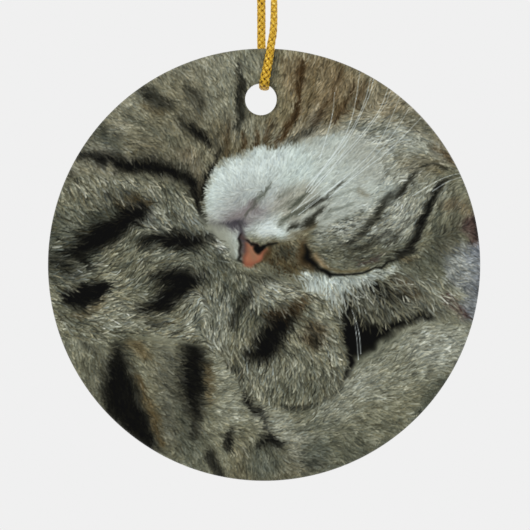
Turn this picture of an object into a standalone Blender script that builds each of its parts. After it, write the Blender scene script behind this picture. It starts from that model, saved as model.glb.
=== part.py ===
"""A round ceramic hanging ornament: a printed glazed disc on a loop of gold braided cord.

Metres, +Z up. The origin is the hang point, inside the top of the cord loop and under its knot.
The printed face looks towards -Y. The disc, its print and the cord's lengths are separate solids.
"""

import math

import bmesh
import bpy
from mathutils import Vector

# The ceramic disc and its print
DISC_RADIUS = 0.0365
THICKNESS = 0.004  # ceramic and print together
RIM_ROUNDING = 0.001
PRINT_THICKNESS = 0.00025
FIT_GAP = 0.0003  # kept between solids that touch on the real object
PRINT_INSET = 0.0009  # the print's solid stops where the rim starts to round

# The hole, placed from the disc's centre. The cord hangs straight above that centre.
HOLE_RADIUS = 0.00265
HOLE_ROUNDING = 0.0008
HOLE_RISE = 0.0279
HOLE_SHIFT = -0.00054

# The cord
CORD_DIAMETER = 0.0014
DROP = 0.055  # from the hang point down to the middle of the cord in the hole
SQUEEZED = 0.57  # share of the cord's thickness that is left where it bends over the ceramic
SQUEEZE_RISE = 0.0025  # the cord is its full thickness again this far above the hole's cord
WALL_TO_CORD = 0.0008  # from the top of the hole down to the middle of the cord
CUT_HEIGHT = 0.0105  # the loop is cut this far above the hole's cord, clear of the rocking disc
STRAND_STEP = 0.0028
BEND_STEP = 0.0008

# The knot and the cut ends
KNOT_RADIUS = 0.0027
KNOT_HEIGHT = 0.0062
KNOT_MIDDLE = 0.0034  # height of the knot's widest ring
KNOT_FOOT = (0.0004, 0.0002)  # radius and height of the end over the strands
KNOT_SHOULDER = (0.0017, 0.0011)

# How finely round shapes are turned
DISC_STEPS = 128
HOLE_STEPS = 32
PUNCH_STEPS = 48
KNOT_STEPS = 24
ARC_STEPS = 5
CUTTER_REACH = 0.0005  # how far a cutter stands out past the solid that it cuts

CORD_Z = -DROP
HOLE_Z = CORD_Z + WALL_TO_CORD - HOLE_RADIUS
DISC_Z = HOLE_Z - HOLE_RISE
FRONT_Y = -THICKNESS / 2
BACK_Y = THICKNESS / 2
CERAMIC_FRONT_Y = FRONT_Y + PRINT_THICKNESS + FIT_GAP

# The loop's route from the hang point down in front, through the hole and up behind
LOOP_ROUTE = [
    (0.00035, -0.00085, -0.0002),
    (0.00085, -0.00098, -0.008),
    (0.00128, -0.0013, -0.017),
    (0.00156, -0.0018, -0.027),
    (0.00166, -0.0024, -0.036),
    (0.00167, -0.0028, -0.0425),
    (0.00154, -0.00302, -0.0455),
    (0.00124, -0.0031, -0.0473),
    (0.00092, -0.0031, -0.0494),
    (0.00055, -0.0031, -0.0514),
    (0.00022, -0.0030, -0.0531),
    (0.00006, -0.00238, -0.0543),
    (0.0, -0.0012, -0.0549),
    (0.0, 0.0, -0.055),
    (0.0, 0.0012, -0.0549),
    (-0.00006, 0.00238, -0.0543),
    (-0.00018, 0.0030, -0.0531),
    (-0.0003, 0.0031, -0.0514),
    (-0.0004, 0.0031, -0.0494),
    (-0.00046, 0.0031, -0.0473),
    (-0.00047, 0.00302, -0.0455),
    (-0.00047, 0.0028, -0.0425),
    (-0.0005, 0.0024, -0.036),
    (-0.00052, 0.0018, -0.027),
    (-0.0005, 0.0013, -0.017),
    (-0.00044, 0.00098, -0.008),
    (-0.00035, 0.00085, -0.0002),
]

# The cut ends, from the top of the knot to their tips
TAIL_LEFT_ROUTE = [
    (-0.0009, 0.0, 0.0066),
    (-0.0013, 0.0001, 0.0082),
    (-0.0021, 0.0002, 0.0104),
    (-0.0034, 0.0002, 0.0126),
    (-0.0049, 0.0, 0.0141),
]
TAIL_RIGHT_ROUTE = [
    (0.0009, 0.0, 0.0066),
    (0.0012, -0.0002, 0.0084),
    (0.0017, -0.0005, 0.0108),
    (0.0026, -0.0006, 0.0133),
    (0.0039, -0.0004, 0.0155),
]


def clear_scene():
    for old in list(bpy.data.objects):
        bpy.data.objects.remove(old)


def collection(name):
    made = bpy.data.collections.new(name)
    bpy.context.scene.collection.children.link(made)
    return made


def material(name, colour, roughness, metallic=0.0):
    made = bpy.data.materials.new(name)
    made.use_nodes = True
    shader = made.node_tree.nodes["Principled BSDF"]
    shader.inputs["Base Color"].default_value = (*colour, 1.0)
    shader.inputs["Roughness"].default_value = roughness
    shader.inputs["Metallic"].default_value = metallic
    return made


def arc(centre, radius, start, end, steps):
    """Points of an arc in the profile's plane, from angle start to angle end in degrees."""
    angles = [math.radians(start + (end - start) * i / steps) for i in range(steps + 1)]
    return [(centre[0] + radius * math.cos(a), centre[1] + radius * math.sin(a)) for a in angles]


def turned(name, profile, place, steps, group, towards_y=True):
    """A profile of (radius, height) points turned about an axis through place.

    The profile runs from its top point down to its bottom point on the axis. Its height is laid
    along -Y where towards_y is set, so the top of the profile faces the front.
    """
    mesh = bpy.data.meshes.new(name)
    shape = bmesh.new()
    points = [shape.verts.new((radius, 0.0, height)) for radius, height in profile]
    for a, b in zip(points, points[1:]):
        shape.edges.new((a, b))
    shape.to_mesh(mesh)
    shape.free()
    made = bpy.data.objects.new(name, mesh)
    made.location = place
    if towards_y:
        made.rotation_euler = (math.radians(90.0), 0.0, 0.0)
    screw = made.modifiers.new("turn", "SCREW")
    screw.axis = "Z"
    screw.steps = steps
    screw.render_steps = steps
    screw.use_merge_vertices = True
    screw.merge_threshold = 0.000001
    screw.use_smooth_shade = True
    group.objects.link(made)
    return made


def disc_profile(radius, top, bottom, rounding):
    """A flat disc from its top middle to its bottom middle, with a rounded rim."""
    outer = arc((radius - rounding, top - rounding), rounding, 90.0, 0.0, ARC_STEPS)
    outer += arc((radius - rounding, bottom + rounding), rounding, 0.0, -90.0, ARC_STEPS)
    return [(0.0, top), *outer, (0.0, bottom)]


def hole_profile(top, bottom):
    """The hole as a solid, flared at both ends by the rounding of the ceramic's edges."""
    flare = HOLE_RADIUS + HOLE_ROUNDING
    upper = arc((flare, top - HOLE_ROUNDING), HOLE_ROUNDING, 90.0, 180.0, ARC_STEPS)
    lower = arc((flare, bottom + HOLE_ROUNDING), HOLE_ROUNDING, 180.0, 270.0, ARC_STEPS)
    return [(0.0, top + CUTTER_REACH), (flare, top + CUTTER_REACH), *upper, *lower,
            (flare, bottom - CUTTER_REACH), (0.0, bottom - CUTTER_REACH)]


def cut_hole(body, cutter):
    """Takes the cutter's shape out of body. The cutter stays as a hidden guide."""
    cut = body.modifiers.new("hole", "BOOLEAN")
    cut.operation = "DIFFERENCE"
    cut.object = cutter
    cutter.hide_render = True
    cutter.display_type = "WIRE"


def make_disc(parts, guides):
    """The glazed ceramic, without the thickness of its print."""
    top = -CERAMIC_FRONT_Y
    bottom = -BACK_Y
    disc = turned("ceramic_disc", disc_profile(DISC_RADIUS, top, bottom, RIM_ROUNDING),
                  (0.0, 0.0, DISC_Z), DISC_STEPS, parts)
    cutter = turned("hole_cutter", hole_profile(top, bottom), (HOLE_SHIFT, 0.0, HOLE_Z),
                    HOLE_STEPS, guides)
    cut_hole(disc, cutter)
    disc.data.materials.append(material("glaze", (0.86, 0.86, 0.84), 0.12))


def make_print(parts, guides):
    """The printed coat, a thin disc in front of the ceramic with its own larger hole."""
    radius = DISC_RADIUS - PRINT_INSET
    top = -FRONT_Y
    bottom = -FRONT_Y - PRINT_THICKNESS
    profile = [(0.0, top), (radius, top), (radius, bottom), (0.0, bottom)]
    coat = turned("front_print", profile, (0.0, 0.0, DISC_Z), DISC_STEPS, parts)
    clear = HOLE_RADIUS + HOLE_ROUNDING
    punch = [(0.0, top + FIT_GAP), (clear, top + FIT_GAP), (clear, bottom - FIT_GAP),
             (0.0, bottom - FIT_GAP)]
    cutter = turned("print_punch", punch, (HOLE_SHIFT, 0.0, HOLE_Z), PUNCH_STEPS, guides)
    cut_hole(coat, cutter)
    coat.data.materials.append(material("printed_coat", (0.2, 0.2, 0.17), 0.15))


def smooth_line(points, step):
    """Points about step apart on a Catmull-Rom curve through the given points."""
    line = [Vector(p) for p in points]
    line = [2 * line[0] - line[1], *line, 2 * line[-1] - line[-2]]
    fine = []
    for a, b, c, d in zip(line, line[1:], line[2:], line[3:]):
        for i in range(24):
            t = i / 24
            fine.append(0.5 * ((2 * b) + (c - a) * t + (2 * a - 5 * b + 4 * c - d) * t * t
                               + (3 * b - a - 3 * c + d) * t * t * t))
    fine.append(line[-2])
    along = [0.0]
    for a, b in zip(fine, fine[1:]):
        along.append(along[-1] + (b - a).length)
    count = max(2, round(along[-1] / step))
    spaced = []
    k = 0
    for i in range(count + 1):
        target = along[-1] * i / count
        while k < len(fine) - 2 and along[k + 1] < target:
            k += 1
        share = (target - along[k]) / (along[k + 1] - along[k])
        spaced.append(fine[k].lerp(fine[k + 1], share))
    return spaced


def squeeze(point):
    """The cord's thickness at a point, as a share of its full thickness."""
    rise = (point.z - CORD_Z) / SQUEEZE_RISE
    return SQUEEZED + (1.0 - SQUEEZED) * min(1.0, max(0.0, rise))


def tube(name, line, group, finish, thickness=None):
    """A cord length as a curve along the line. thickness gives its share at each point."""
    data = bpy.data.curves.new(name, "CURVE")
    data.dimensions = "3D"
    data.bevel_depth = CORD_DIAMETER / 2
    data.bevel_resolution = 2
    data.use_fill_caps = True
    spline = data.splines.new("POLY")
    spline.points.add(len(line) - 1)
    for knot, place in zip(spline.points, line):
        knot.co = (*place, 1.0)
        knot.radius = thickness(place) if thickness else 1.0
    made = bpy.data.objects.new(name, data)
    made.data.materials.append(finish)
    group.objects.link(made)
    return made


def make_loop(parts, braid):
    """The two strands and the bight, cut from one smooth line through the hole."""
    fine = smooth_line(LOOP_ROUTE, STRAND_STEP / 20)
    cut_z = CORD_Z + CUT_HEIGHT
    half = len(fine) // 2
    front = [p for p in fine[:half] if p.z >= cut_z + FIT_GAP / 2]
    back = [p for p in fine[half:] if p.z >= cut_z + FIT_GAP / 2]
    bight = [p for p in fine if p.z <= cut_z - FIT_GAP / 2]
    tube("strand_front", smooth_line(front[::8] + [front[-1]], STRAND_STEP), parts, braid)
    tube("strand_back", smooth_line(back[:1] + back[4::8] + [back[-1]], STRAND_STEP), parts, braid)
    tube("cord_bight", smooth_line(bight[::3] + [bight[-1]], BEND_STEP), parts, braid, squeeze)


def make_knot(parts, braid):
    """The overhand knot's outer shape: a narrow foot over the strands and a rounded body."""
    upper = KNOT_HEIGHT - KNOT_MIDDLE
    sides = [(KNOT_RADIUS * math.cos(a), KNOT_MIDDLE + upper * math.sin(a))
             for a in [math.radians(d) for d in range(80, -41, -20)]]
    profile = [(0.0, KNOT_HEIGHT), *sides, KNOT_SHOULDER, KNOT_FOOT, (0.0, KNOT_FOOT[1])]
    knot = turned("cord_knot", profile, (0.0, 0.0, 0.0), KNOT_STEPS, parts, towards_y=False)
    knot.data.materials.append(braid)


def make_tails(parts, braid):
    """The two cut ends that stand up from the knot."""
    tube("tail_left", smooth_line(TAIL_LEFT_ROUTE, STRAND_STEP / 2), parts, braid)
    tube("tail_right", smooth_line(TAIL_RIGHT_ROUTE, STRAND_STEP / 2), parts, braid)


def main():
    clear_scene()
    parts = collection("hanging_disc_ornament")
    guides = collection("cutters")
    braid = material("gold_braid", (0.72, 0.5, 0.1), 0.35, 0.8)
    make_disc(parts, guides)
    make_print(parts, guides)
    make_loop(parts, braid)
    make_knot(parts, braid)
    make_tails(parts, braid)


main()
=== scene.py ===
"""Looks for the round ceramic hanging ornament: glaze, printed sleeping cat and gold braid.

Metres, +Z up. The origin is the hang point, inside the top of the cord loop and under its knot.
The printed face looks towards -Y. The picture on it is painted in code, hair by hair.
"""

import math

import bpy
import numpy as np
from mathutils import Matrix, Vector
from mathutils.geometry import delaunay_2d_cdt

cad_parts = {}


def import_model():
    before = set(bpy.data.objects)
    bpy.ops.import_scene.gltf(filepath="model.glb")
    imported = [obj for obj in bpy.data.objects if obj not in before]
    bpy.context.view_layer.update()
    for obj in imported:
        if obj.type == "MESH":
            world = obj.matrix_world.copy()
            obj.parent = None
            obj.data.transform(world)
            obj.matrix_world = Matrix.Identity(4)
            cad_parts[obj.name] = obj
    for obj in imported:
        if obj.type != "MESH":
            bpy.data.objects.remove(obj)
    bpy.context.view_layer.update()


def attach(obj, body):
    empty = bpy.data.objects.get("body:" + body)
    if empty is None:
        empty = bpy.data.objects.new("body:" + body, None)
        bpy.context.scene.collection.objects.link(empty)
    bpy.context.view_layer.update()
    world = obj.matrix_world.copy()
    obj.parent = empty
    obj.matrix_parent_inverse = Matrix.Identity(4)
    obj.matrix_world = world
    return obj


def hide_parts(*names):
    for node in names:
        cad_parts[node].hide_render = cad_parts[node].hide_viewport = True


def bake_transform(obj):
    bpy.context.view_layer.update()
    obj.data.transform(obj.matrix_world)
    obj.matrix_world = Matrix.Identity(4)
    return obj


MM = 0.001

# The ceramic disc
DISC_RADIUS = 0.0365
FRONT_Y = -0.002
BACK_Y = 0.002
RIM_ROUNDING = 0.001
HOLE_RADIUS = 0.00265
HOLE_ROUNDING = 0.0008
DISC_Z = -0.08475
HOLE_X = -0.00054
HOLE_Z = -0.05685
RIM_SEGMENTS = 320
HOLE_SEGMENTS = 112
ROUNDING_STEPS = 7

# The printed coat, laid over the front, round the rim and into the hole
COAT = 0.00004
COAT_STEP = 0.000125
COAT_WRAP = 80.0
COAT_UNDER_STEPS = 4
COAT_UNDER_SHARE = 0.9
BORDER_SHARE = 0.3
# The glossy top adds this much light to the print's own colour
HAZE = 0.004
DARKEST_INK = 0.001

# The braided cord
CORD_DIAMETER = 0.0014
CORD_Z = -0.055
BIGHT_HALF_WIDTH = 0.00092
BIGHT_HALF_THICKNESS = 0.0005
BIGHT_LIFT = 0.00026
BIGHT_RISE = 0.0026
# The front strand is flattened by the hole and turns edge on above it
TURNED_Z = (-0.055, -0.0537, -0.0524, -0.0488, -0.0445, -0.04, -0.034, -0.026)
TURNED_HALF_WIDTH = (0.00094, 0.00088, 0.0008, 0.00068, 0.00056, 0.00048, 0.00048, 0.0007)
TURNED_MOST_THICK = 1.2
SPLIT_Z = -0.02

# The yarns: as many in each direction, laid over and under each other round a core
YARNS = 4
PITCH = 0.0044
YARN_WIDTH = 0.00068
YARN_THICKNESS = 0.00028
YARN_WAVE = 0.08
YARN_SIDES = 8
YARN_STEP = 0.00014
CORE_SHARE = 0.66
CORE_SIDES = 12
# Painted shade and highlight on each yarn's vertices: darkest in a dip, lighter on its crown and
# where it rides over another
DIP_SHADE = 0.08
CROWN_SHADE = 0.45
WAVE_SHADE = 0.26

# The sealed tips
TIP_LENGTH = 0.0009
TIP_STEPS = 7
TIP_SIDES = 16
TIP_SHARE = 0.94
TIP_SHADE = 0.35
TIP_POINT = 0.0004

# The overhand knot, tied in both strands
KNOT_MIDDLE_Z = 0.0033
KNOT_STEPS = 60
KNOT_REACH = 2.12
KNOT_EASE = 1.4
KNOT_GATHER = 0.86
KNOT_LEAN = 1.2
KNOT_SCALE = (0.00056, 0.00034, 0.000142)
KNOT_STRAND_GAP = 0.00052
KNOT_SQUEEZE = 0.86
KNOT_TOP_Z = 0.0075
KNOT_FADE = 0.0015
KNOT_SMOOTHINGS = 24
STRAND_STRIDE = 24

# The yarn's lit and shaded golds as shown on a display, from painted shade deep between yarns to a
# painted highlight on a crown
LIT_AND_SHADED_GOLDS = [
    (0.0, (0.16, 0.11, 0.0)), (0.3, (0.4, 0.28, 0.01)), (0.52, (0.76, 0.58, 0.06)),
    (0.8, (0.9, 0.73, 0.2)), (1.0, (1.0, 0.92, 0.55)),
]
# Noise that speckles the gold: random tone and painted sparkle, standing in for glints off the
# metal threads
SPARKLE_CONTRAST = 1.3
SPARKLE_MIDDLE = 0.65
GOLD_SPECKS_AND_SPARKLE = {"scale": 3200.0, "detail": 3.0}
GOLD_LOOK = {"Metallic": 0.35, "Roughness": 0.34}
GOLD_BUMP = {"scale": 5200.0, "detail": 2.0, "strength": 0.35, "distance": 0.00006}

# The print's gloss, and the glaze's, with the glaze's linear colours
PRINT_LOOK = {"Roughness": 0.22, "Specular IOR Level": 0.06}
PRINT_BUMP = {"scale": 420.0, "detail": 2.0, "strength": 0.05, "distance": 0.0002}
GLAZES = [(0.3, (0.845, 0.845, 0.825)), (0.62, (0.87, 0.87, 0.855))]
GLAZE_SPECKS = {"scale": 160.0, "detail": 4.0}
GLAZE_LOOK = {"Roughness": 0.1, "Coat Weight": 0.4, "Coat Roughness": 0.05}
GLAZE_BUMP = {"scale": 130.0, "detail": 2.0, "strength": 0.08, "distance": 0.0006}

# The loop's route from the hang point down in front, through the hole and up behind
LOOP_ROUTE = [
    (0.00035, -0.00085, -0.0002), (0.00085, -0.00098, -0.008), (0.00128, -0.0013, -0.017),
    (0.00156, -0.0018, -0.027), (0.00166, -0.0024, -0.036), (0.00167, -0.0028, -0.0425),
    (0.00154, -0.00302, -0.0455), (0.00124, -0.0031, -0.0473), (0.00092, -0.0031, -0.0494),
    (0.00055, -0.0031, -0.0514), (0.00022, -0.0030, -0.0531), (0.00006, -0.00238, -0.0543),
    (0.0, -0.0012, -0.0549), (0.0, 0.0, -0.055), (0.0, 0.0012, -0.0549),
    (-0.00006, 0.00238, -0.0543), (-0.00018, 0.0030, -0.0531), (-0.0003, 0.0031, -0.0514),
    (-0.0004, 0.0031, -0.0494), (-0.00046, 0.0031, -0.0473), (-0.00047, 0.00302, -0.0455),
    (-0.00047, 0.0028, -0.0425), (-0.0005, 0.0024, -0.036), (-0.00052, 0.0018, -0.027),
    (-0.0005, 0.0013, -0.017), (-0.00044, 0.00098, -0.008), (-0.00035, 0.00085, -0.0002),
]

# The cut ends, from the top of the knot to their tips
TAIL_LEFT_ROUTE = [
    (-0.0009, 0.0, 0.0066), (-0.0013, 0.0001, 0.0082), (-0.0021, 0.0002, 0.0104),
    (-0.0034, 0.0002, 0.0126), (-0.0049, 0.0, 0.0141),
]
TAIL_RIGHT_ROUTE = [
    (0.0009, 0.0, 0.0066), (0.0012, -0.0002, 0.0084), (0.0017, -0.0005, 0.0108),
    (0.0026, -0.0006, 0.0133), (0.0039, -0.0004, 0.0155),
]

# The camera and the studio
FRAME_WIDTH = 0.08931
CAMERA_DISTANCE = 0.5
CAMERA_SENSOR = 36.0
CAMERA_CLIP = (0.01, 20.0)
VIEW_X = 0.00015
VIEW_Z = -0.0848
ROOM_LIGHT = 0.871
KEY_LAMP = {"place": (-0.35, -0.7, 0.35), "size": 0.35, "power": 0.9}
FILL_LAMP = {"place": (0.5, 0.55, 0.3), "size": 0.4, "power": 0.8}
FLOOR_Z = -0.35
FLOOR_RADIUS = 2.1
FLOOR_SIDES = 96
FLOOR_LOOK = {"Base Color": (0.9, 0.9, 0.9, 1), "Roughness": 0.9, "Specular IOR Level": 0.0}
FLOOR_FADE = (0.7, FLOOR_RADIUS * 0.98)

# The picture, painted on a square grid in millimetres from the disc's middle, x right and z up
PAINT_STEP = 0.1
PAINT_HALF = 37.4
PAINT_COUNT = round(2 * PAINT_HALF / PAINT_STEP) + 1
EDGE_GRAIN = 1.1
EDGE_ROUGHNESS = 0.3
CRISP_REACH = 2.0
CRISP_HALF = 6
CRISPNESS = 0.6

# How hairs lie, vary and fade from root to tip
FLOW_STEP = 0.5
FLOW_COUNT = round(2 * PAINT_HALF / FLOW_STEP) + 2
FLOW_SPREAD = 4.0
FLOW_SOFTNESS = 0.15
FLOW_FALL = 2.2
HAIR_SWAY = 0.26
HAIR_CURL = 0.16
HAIR_LENGTHS = (0.6, 1.3)
PARTING_SIZE = 1.6
PARTING_SWAY = 0.18
TUFT_SIZE = 0.75
TUFT_TONE = 0.7
TONES = (-2, 1.4)
UNDER_SHADE = 1.2
WARMTH = 0.1
WARM_TINT = (1.0, 0.2, -1.2)
TINT_SHARE = 0.65
GREYING = 0.6
MOST_GREYED = 0.4
GREY_LIGHT = 0.98
DAB_SPACING = 0.9
DAB_STRENGTH = 1.5
LEAST_COVER = 0.02
ROOT_WEIGHT, ROOT_RISE = 0.3, 3
TIP_WEIGHT, TIP_FALL = 0.15, 3.5
TIP_GLOW, ROOT_DIM = 1.3, 0.75
WHISKER_HALF = 0.045
WHISKER_TAPER = 0.3
WHISKER_EDGE = 0.18
WHISKER_COVER = (0.65, 0.95)

# Paints, as shown on a display from 0 to 255
COLOURS = {
    "moss": (120, 120, 99), "sage": (136, 138, 120), "pale": (156, 160, 147),
    "tan": (124, 112, 88), "fawn": (152, 128, 84), "bark": (90, 78, 52), "umber": (62, 47, 28),
    "slate": (72, 76, 65), "coal": (42, 42, 35), "soot": (15, 15, 13), "milk": (197, 210, 203),
    "snow": (222, 232, 230), "mist": (170, 175, 164), "mauve": (128, 122, 121),
    "sand": (182, 150, 108), "clay": (160, 106, 80), "rust": (122, 70, 54),
    "plum": (76, 60, 56), "dusk": (72, 68, 76), "steel": (116, 121, 125),
}

# How the fur lies: (x, z, degrees)
HEAD_FLOW = [
    (-33, 16, -50), (-29, 15, -50), (-24, 14, -58), (-20, 13, -55), (-15, 12, -55), (-22, 22, -18),
    (-27, 21, -25), (-18, 26, -35), (-24, 25, -30), (-13, 33, -50), (-8, 34, -56), (-9, 28, -58),
    (-13, 24, -60), (-4, 34, -62), (-3, 25, -84), (-5, 20, -92), (-9, 20, -72), (-12, 17, -80),
    (3, 31, -98), (5, 34, -95), (6, 26, -112), (9, 29, -118), (4, 22, -125), (9, 24, -135),
    (14, 30, -108), (17, 28, -112), (12, 33, -100), (22, 27, 32), (20, 24, 18), (24, 21, 0),
    (16, 24, 30), (27, 23, -8), (29, 19.5, -35), (31, 17, -30), (18, 20, 24), (18, 15, 40),
    (20, 12, 42), (24, 17, 20), (28, 16, 20), (28, 13, 50), (26, 9, 60), (23, 11, 46), (21, 7, 34),
    (25, 5, 48), (17, 8, 8), (14, 9, 6), (12, 7, 4), (15, 6, 4), (18, 11, 14), (10, 5, 0),
    (30, 7, 62), (31, 11, 52), (34, 9, 60), (11, 6, 16), (13, 3, 8), (17, 3, 22), (20, 3, 30),
    (12, 1, 0), (17, 1, 8), (2, 2, -60), (4, 0, -50), (26, -2, -50), (23, 0, -35), (29, 2, -44),
    (22, -6, -54), (17, -5, -60), (13, -5, -76), (18, -10, -66), (25, -7, -54), (31, -3, -34),
    (34, -9, -30), (34, -1, -20), (28, -7, -50), (34, 4, -40), (9, -4, -84), (5, -3, -30),
]
MUZZLE_FLOW = [
    (-9, 14, 150), (-9, 10, 165), (-7, 16, 130), (-4, 18, 112), (0, 19.5, 98), (4, 20, 80),
    (8, 20.5, 55), (12, 20, 48), (16, 20, 40), (14, 16, 36), (18, 15, 30), (14, 12, 22),
    (18, 10, 18), (8, 14, 42), (5, 9, 38), (9, 9, 35), (3, 12, 60), (-3, 11, 235), (0, 6, 20),
    (2, 5, 15), (-7, 9, 185), (-4, 14, 100), (-7, 5, -50), (-5, 2, -55), (12, 9, 15), (7, 6, 20),
]
HIP_FLOW = [
    (18, -17, 33), (25, -17, 28), (30, -17, 2), (32, -12, 5), (20, -22, 4), (25, -23, -4),
    (18, -27, -14), (15, -30, -28), (22, -27, -20), (15, -22, 30), (12, -26, 15), (6, -24, 28),
    (10, -24, 34), (5, -28, 12), (8, -33, -12), (0, -33, -75), (-7, -19, 2), (-6, -22, 0),
    (-5, -26, -5), (-8, -28, -34), (-9, -31, -58), (-5, -33, -68), (-13, -25, -32),
    (-16, -21, -26), (-18, -18, -36), (-20, -16, -50), (-15, -28, -50), (-13, -32, -50),
    (-31, -15, -74), (-29, -20, -68), (-24, -22, -70), (-21, -29, -60), (-19, -13, 0),
    (-25, -10, 2), (2, -25, 8), (-13, -18, -20), (-10, -15, -10),
]
ARM_FLOW = [
    (-33, 9, -54), (-30, 10, -52), (-26, 11, -54), (-35, 4, 6), (-31, 3, 8), (-30, 0, 3),
    (-27, 5, 40), (-25, 2, 44), (-22, 5, 50), (-22, -2, 50), (-27, -2, 12), (-20, 8, -48),
    (-13, 9, -58), (-16, 11, -56), (-12, 5, -50), (-15, 1, 32), (-9, 2, -40), (-18, -4, 34),
    (-17, -8, 24), (-12, -8, 62), (-33, -5, -34), (-33, -9, -36), (-26, -7, 10), (-22, -6, -24),
    (-19, -9, -4), (-10, -1, -62), (-8, -6, -86), (-9, -11, -92), (-6, -12, -96), (-4, -4, -70),
    (-3, -9, -104), (2, -4, -30), (5, -5, -30), (2, -9, -52), (5, -13, -52), (9, -14, -50),
    (5, -18, -88), (0, -18, -96), (-3, -15, -80), (10, -17, -58), (13, -15, -62), (8, -21, -98),
    (3, -21, -92), (11, -20, -70), (-8, -15, -45), (-2, -20, -85), (11, -10, -40), (7, -8, -42),
    (-16, -11, 10), (-12, -13, 20), (-25, -9, 5), (-29, -11, -20),
]

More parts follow.
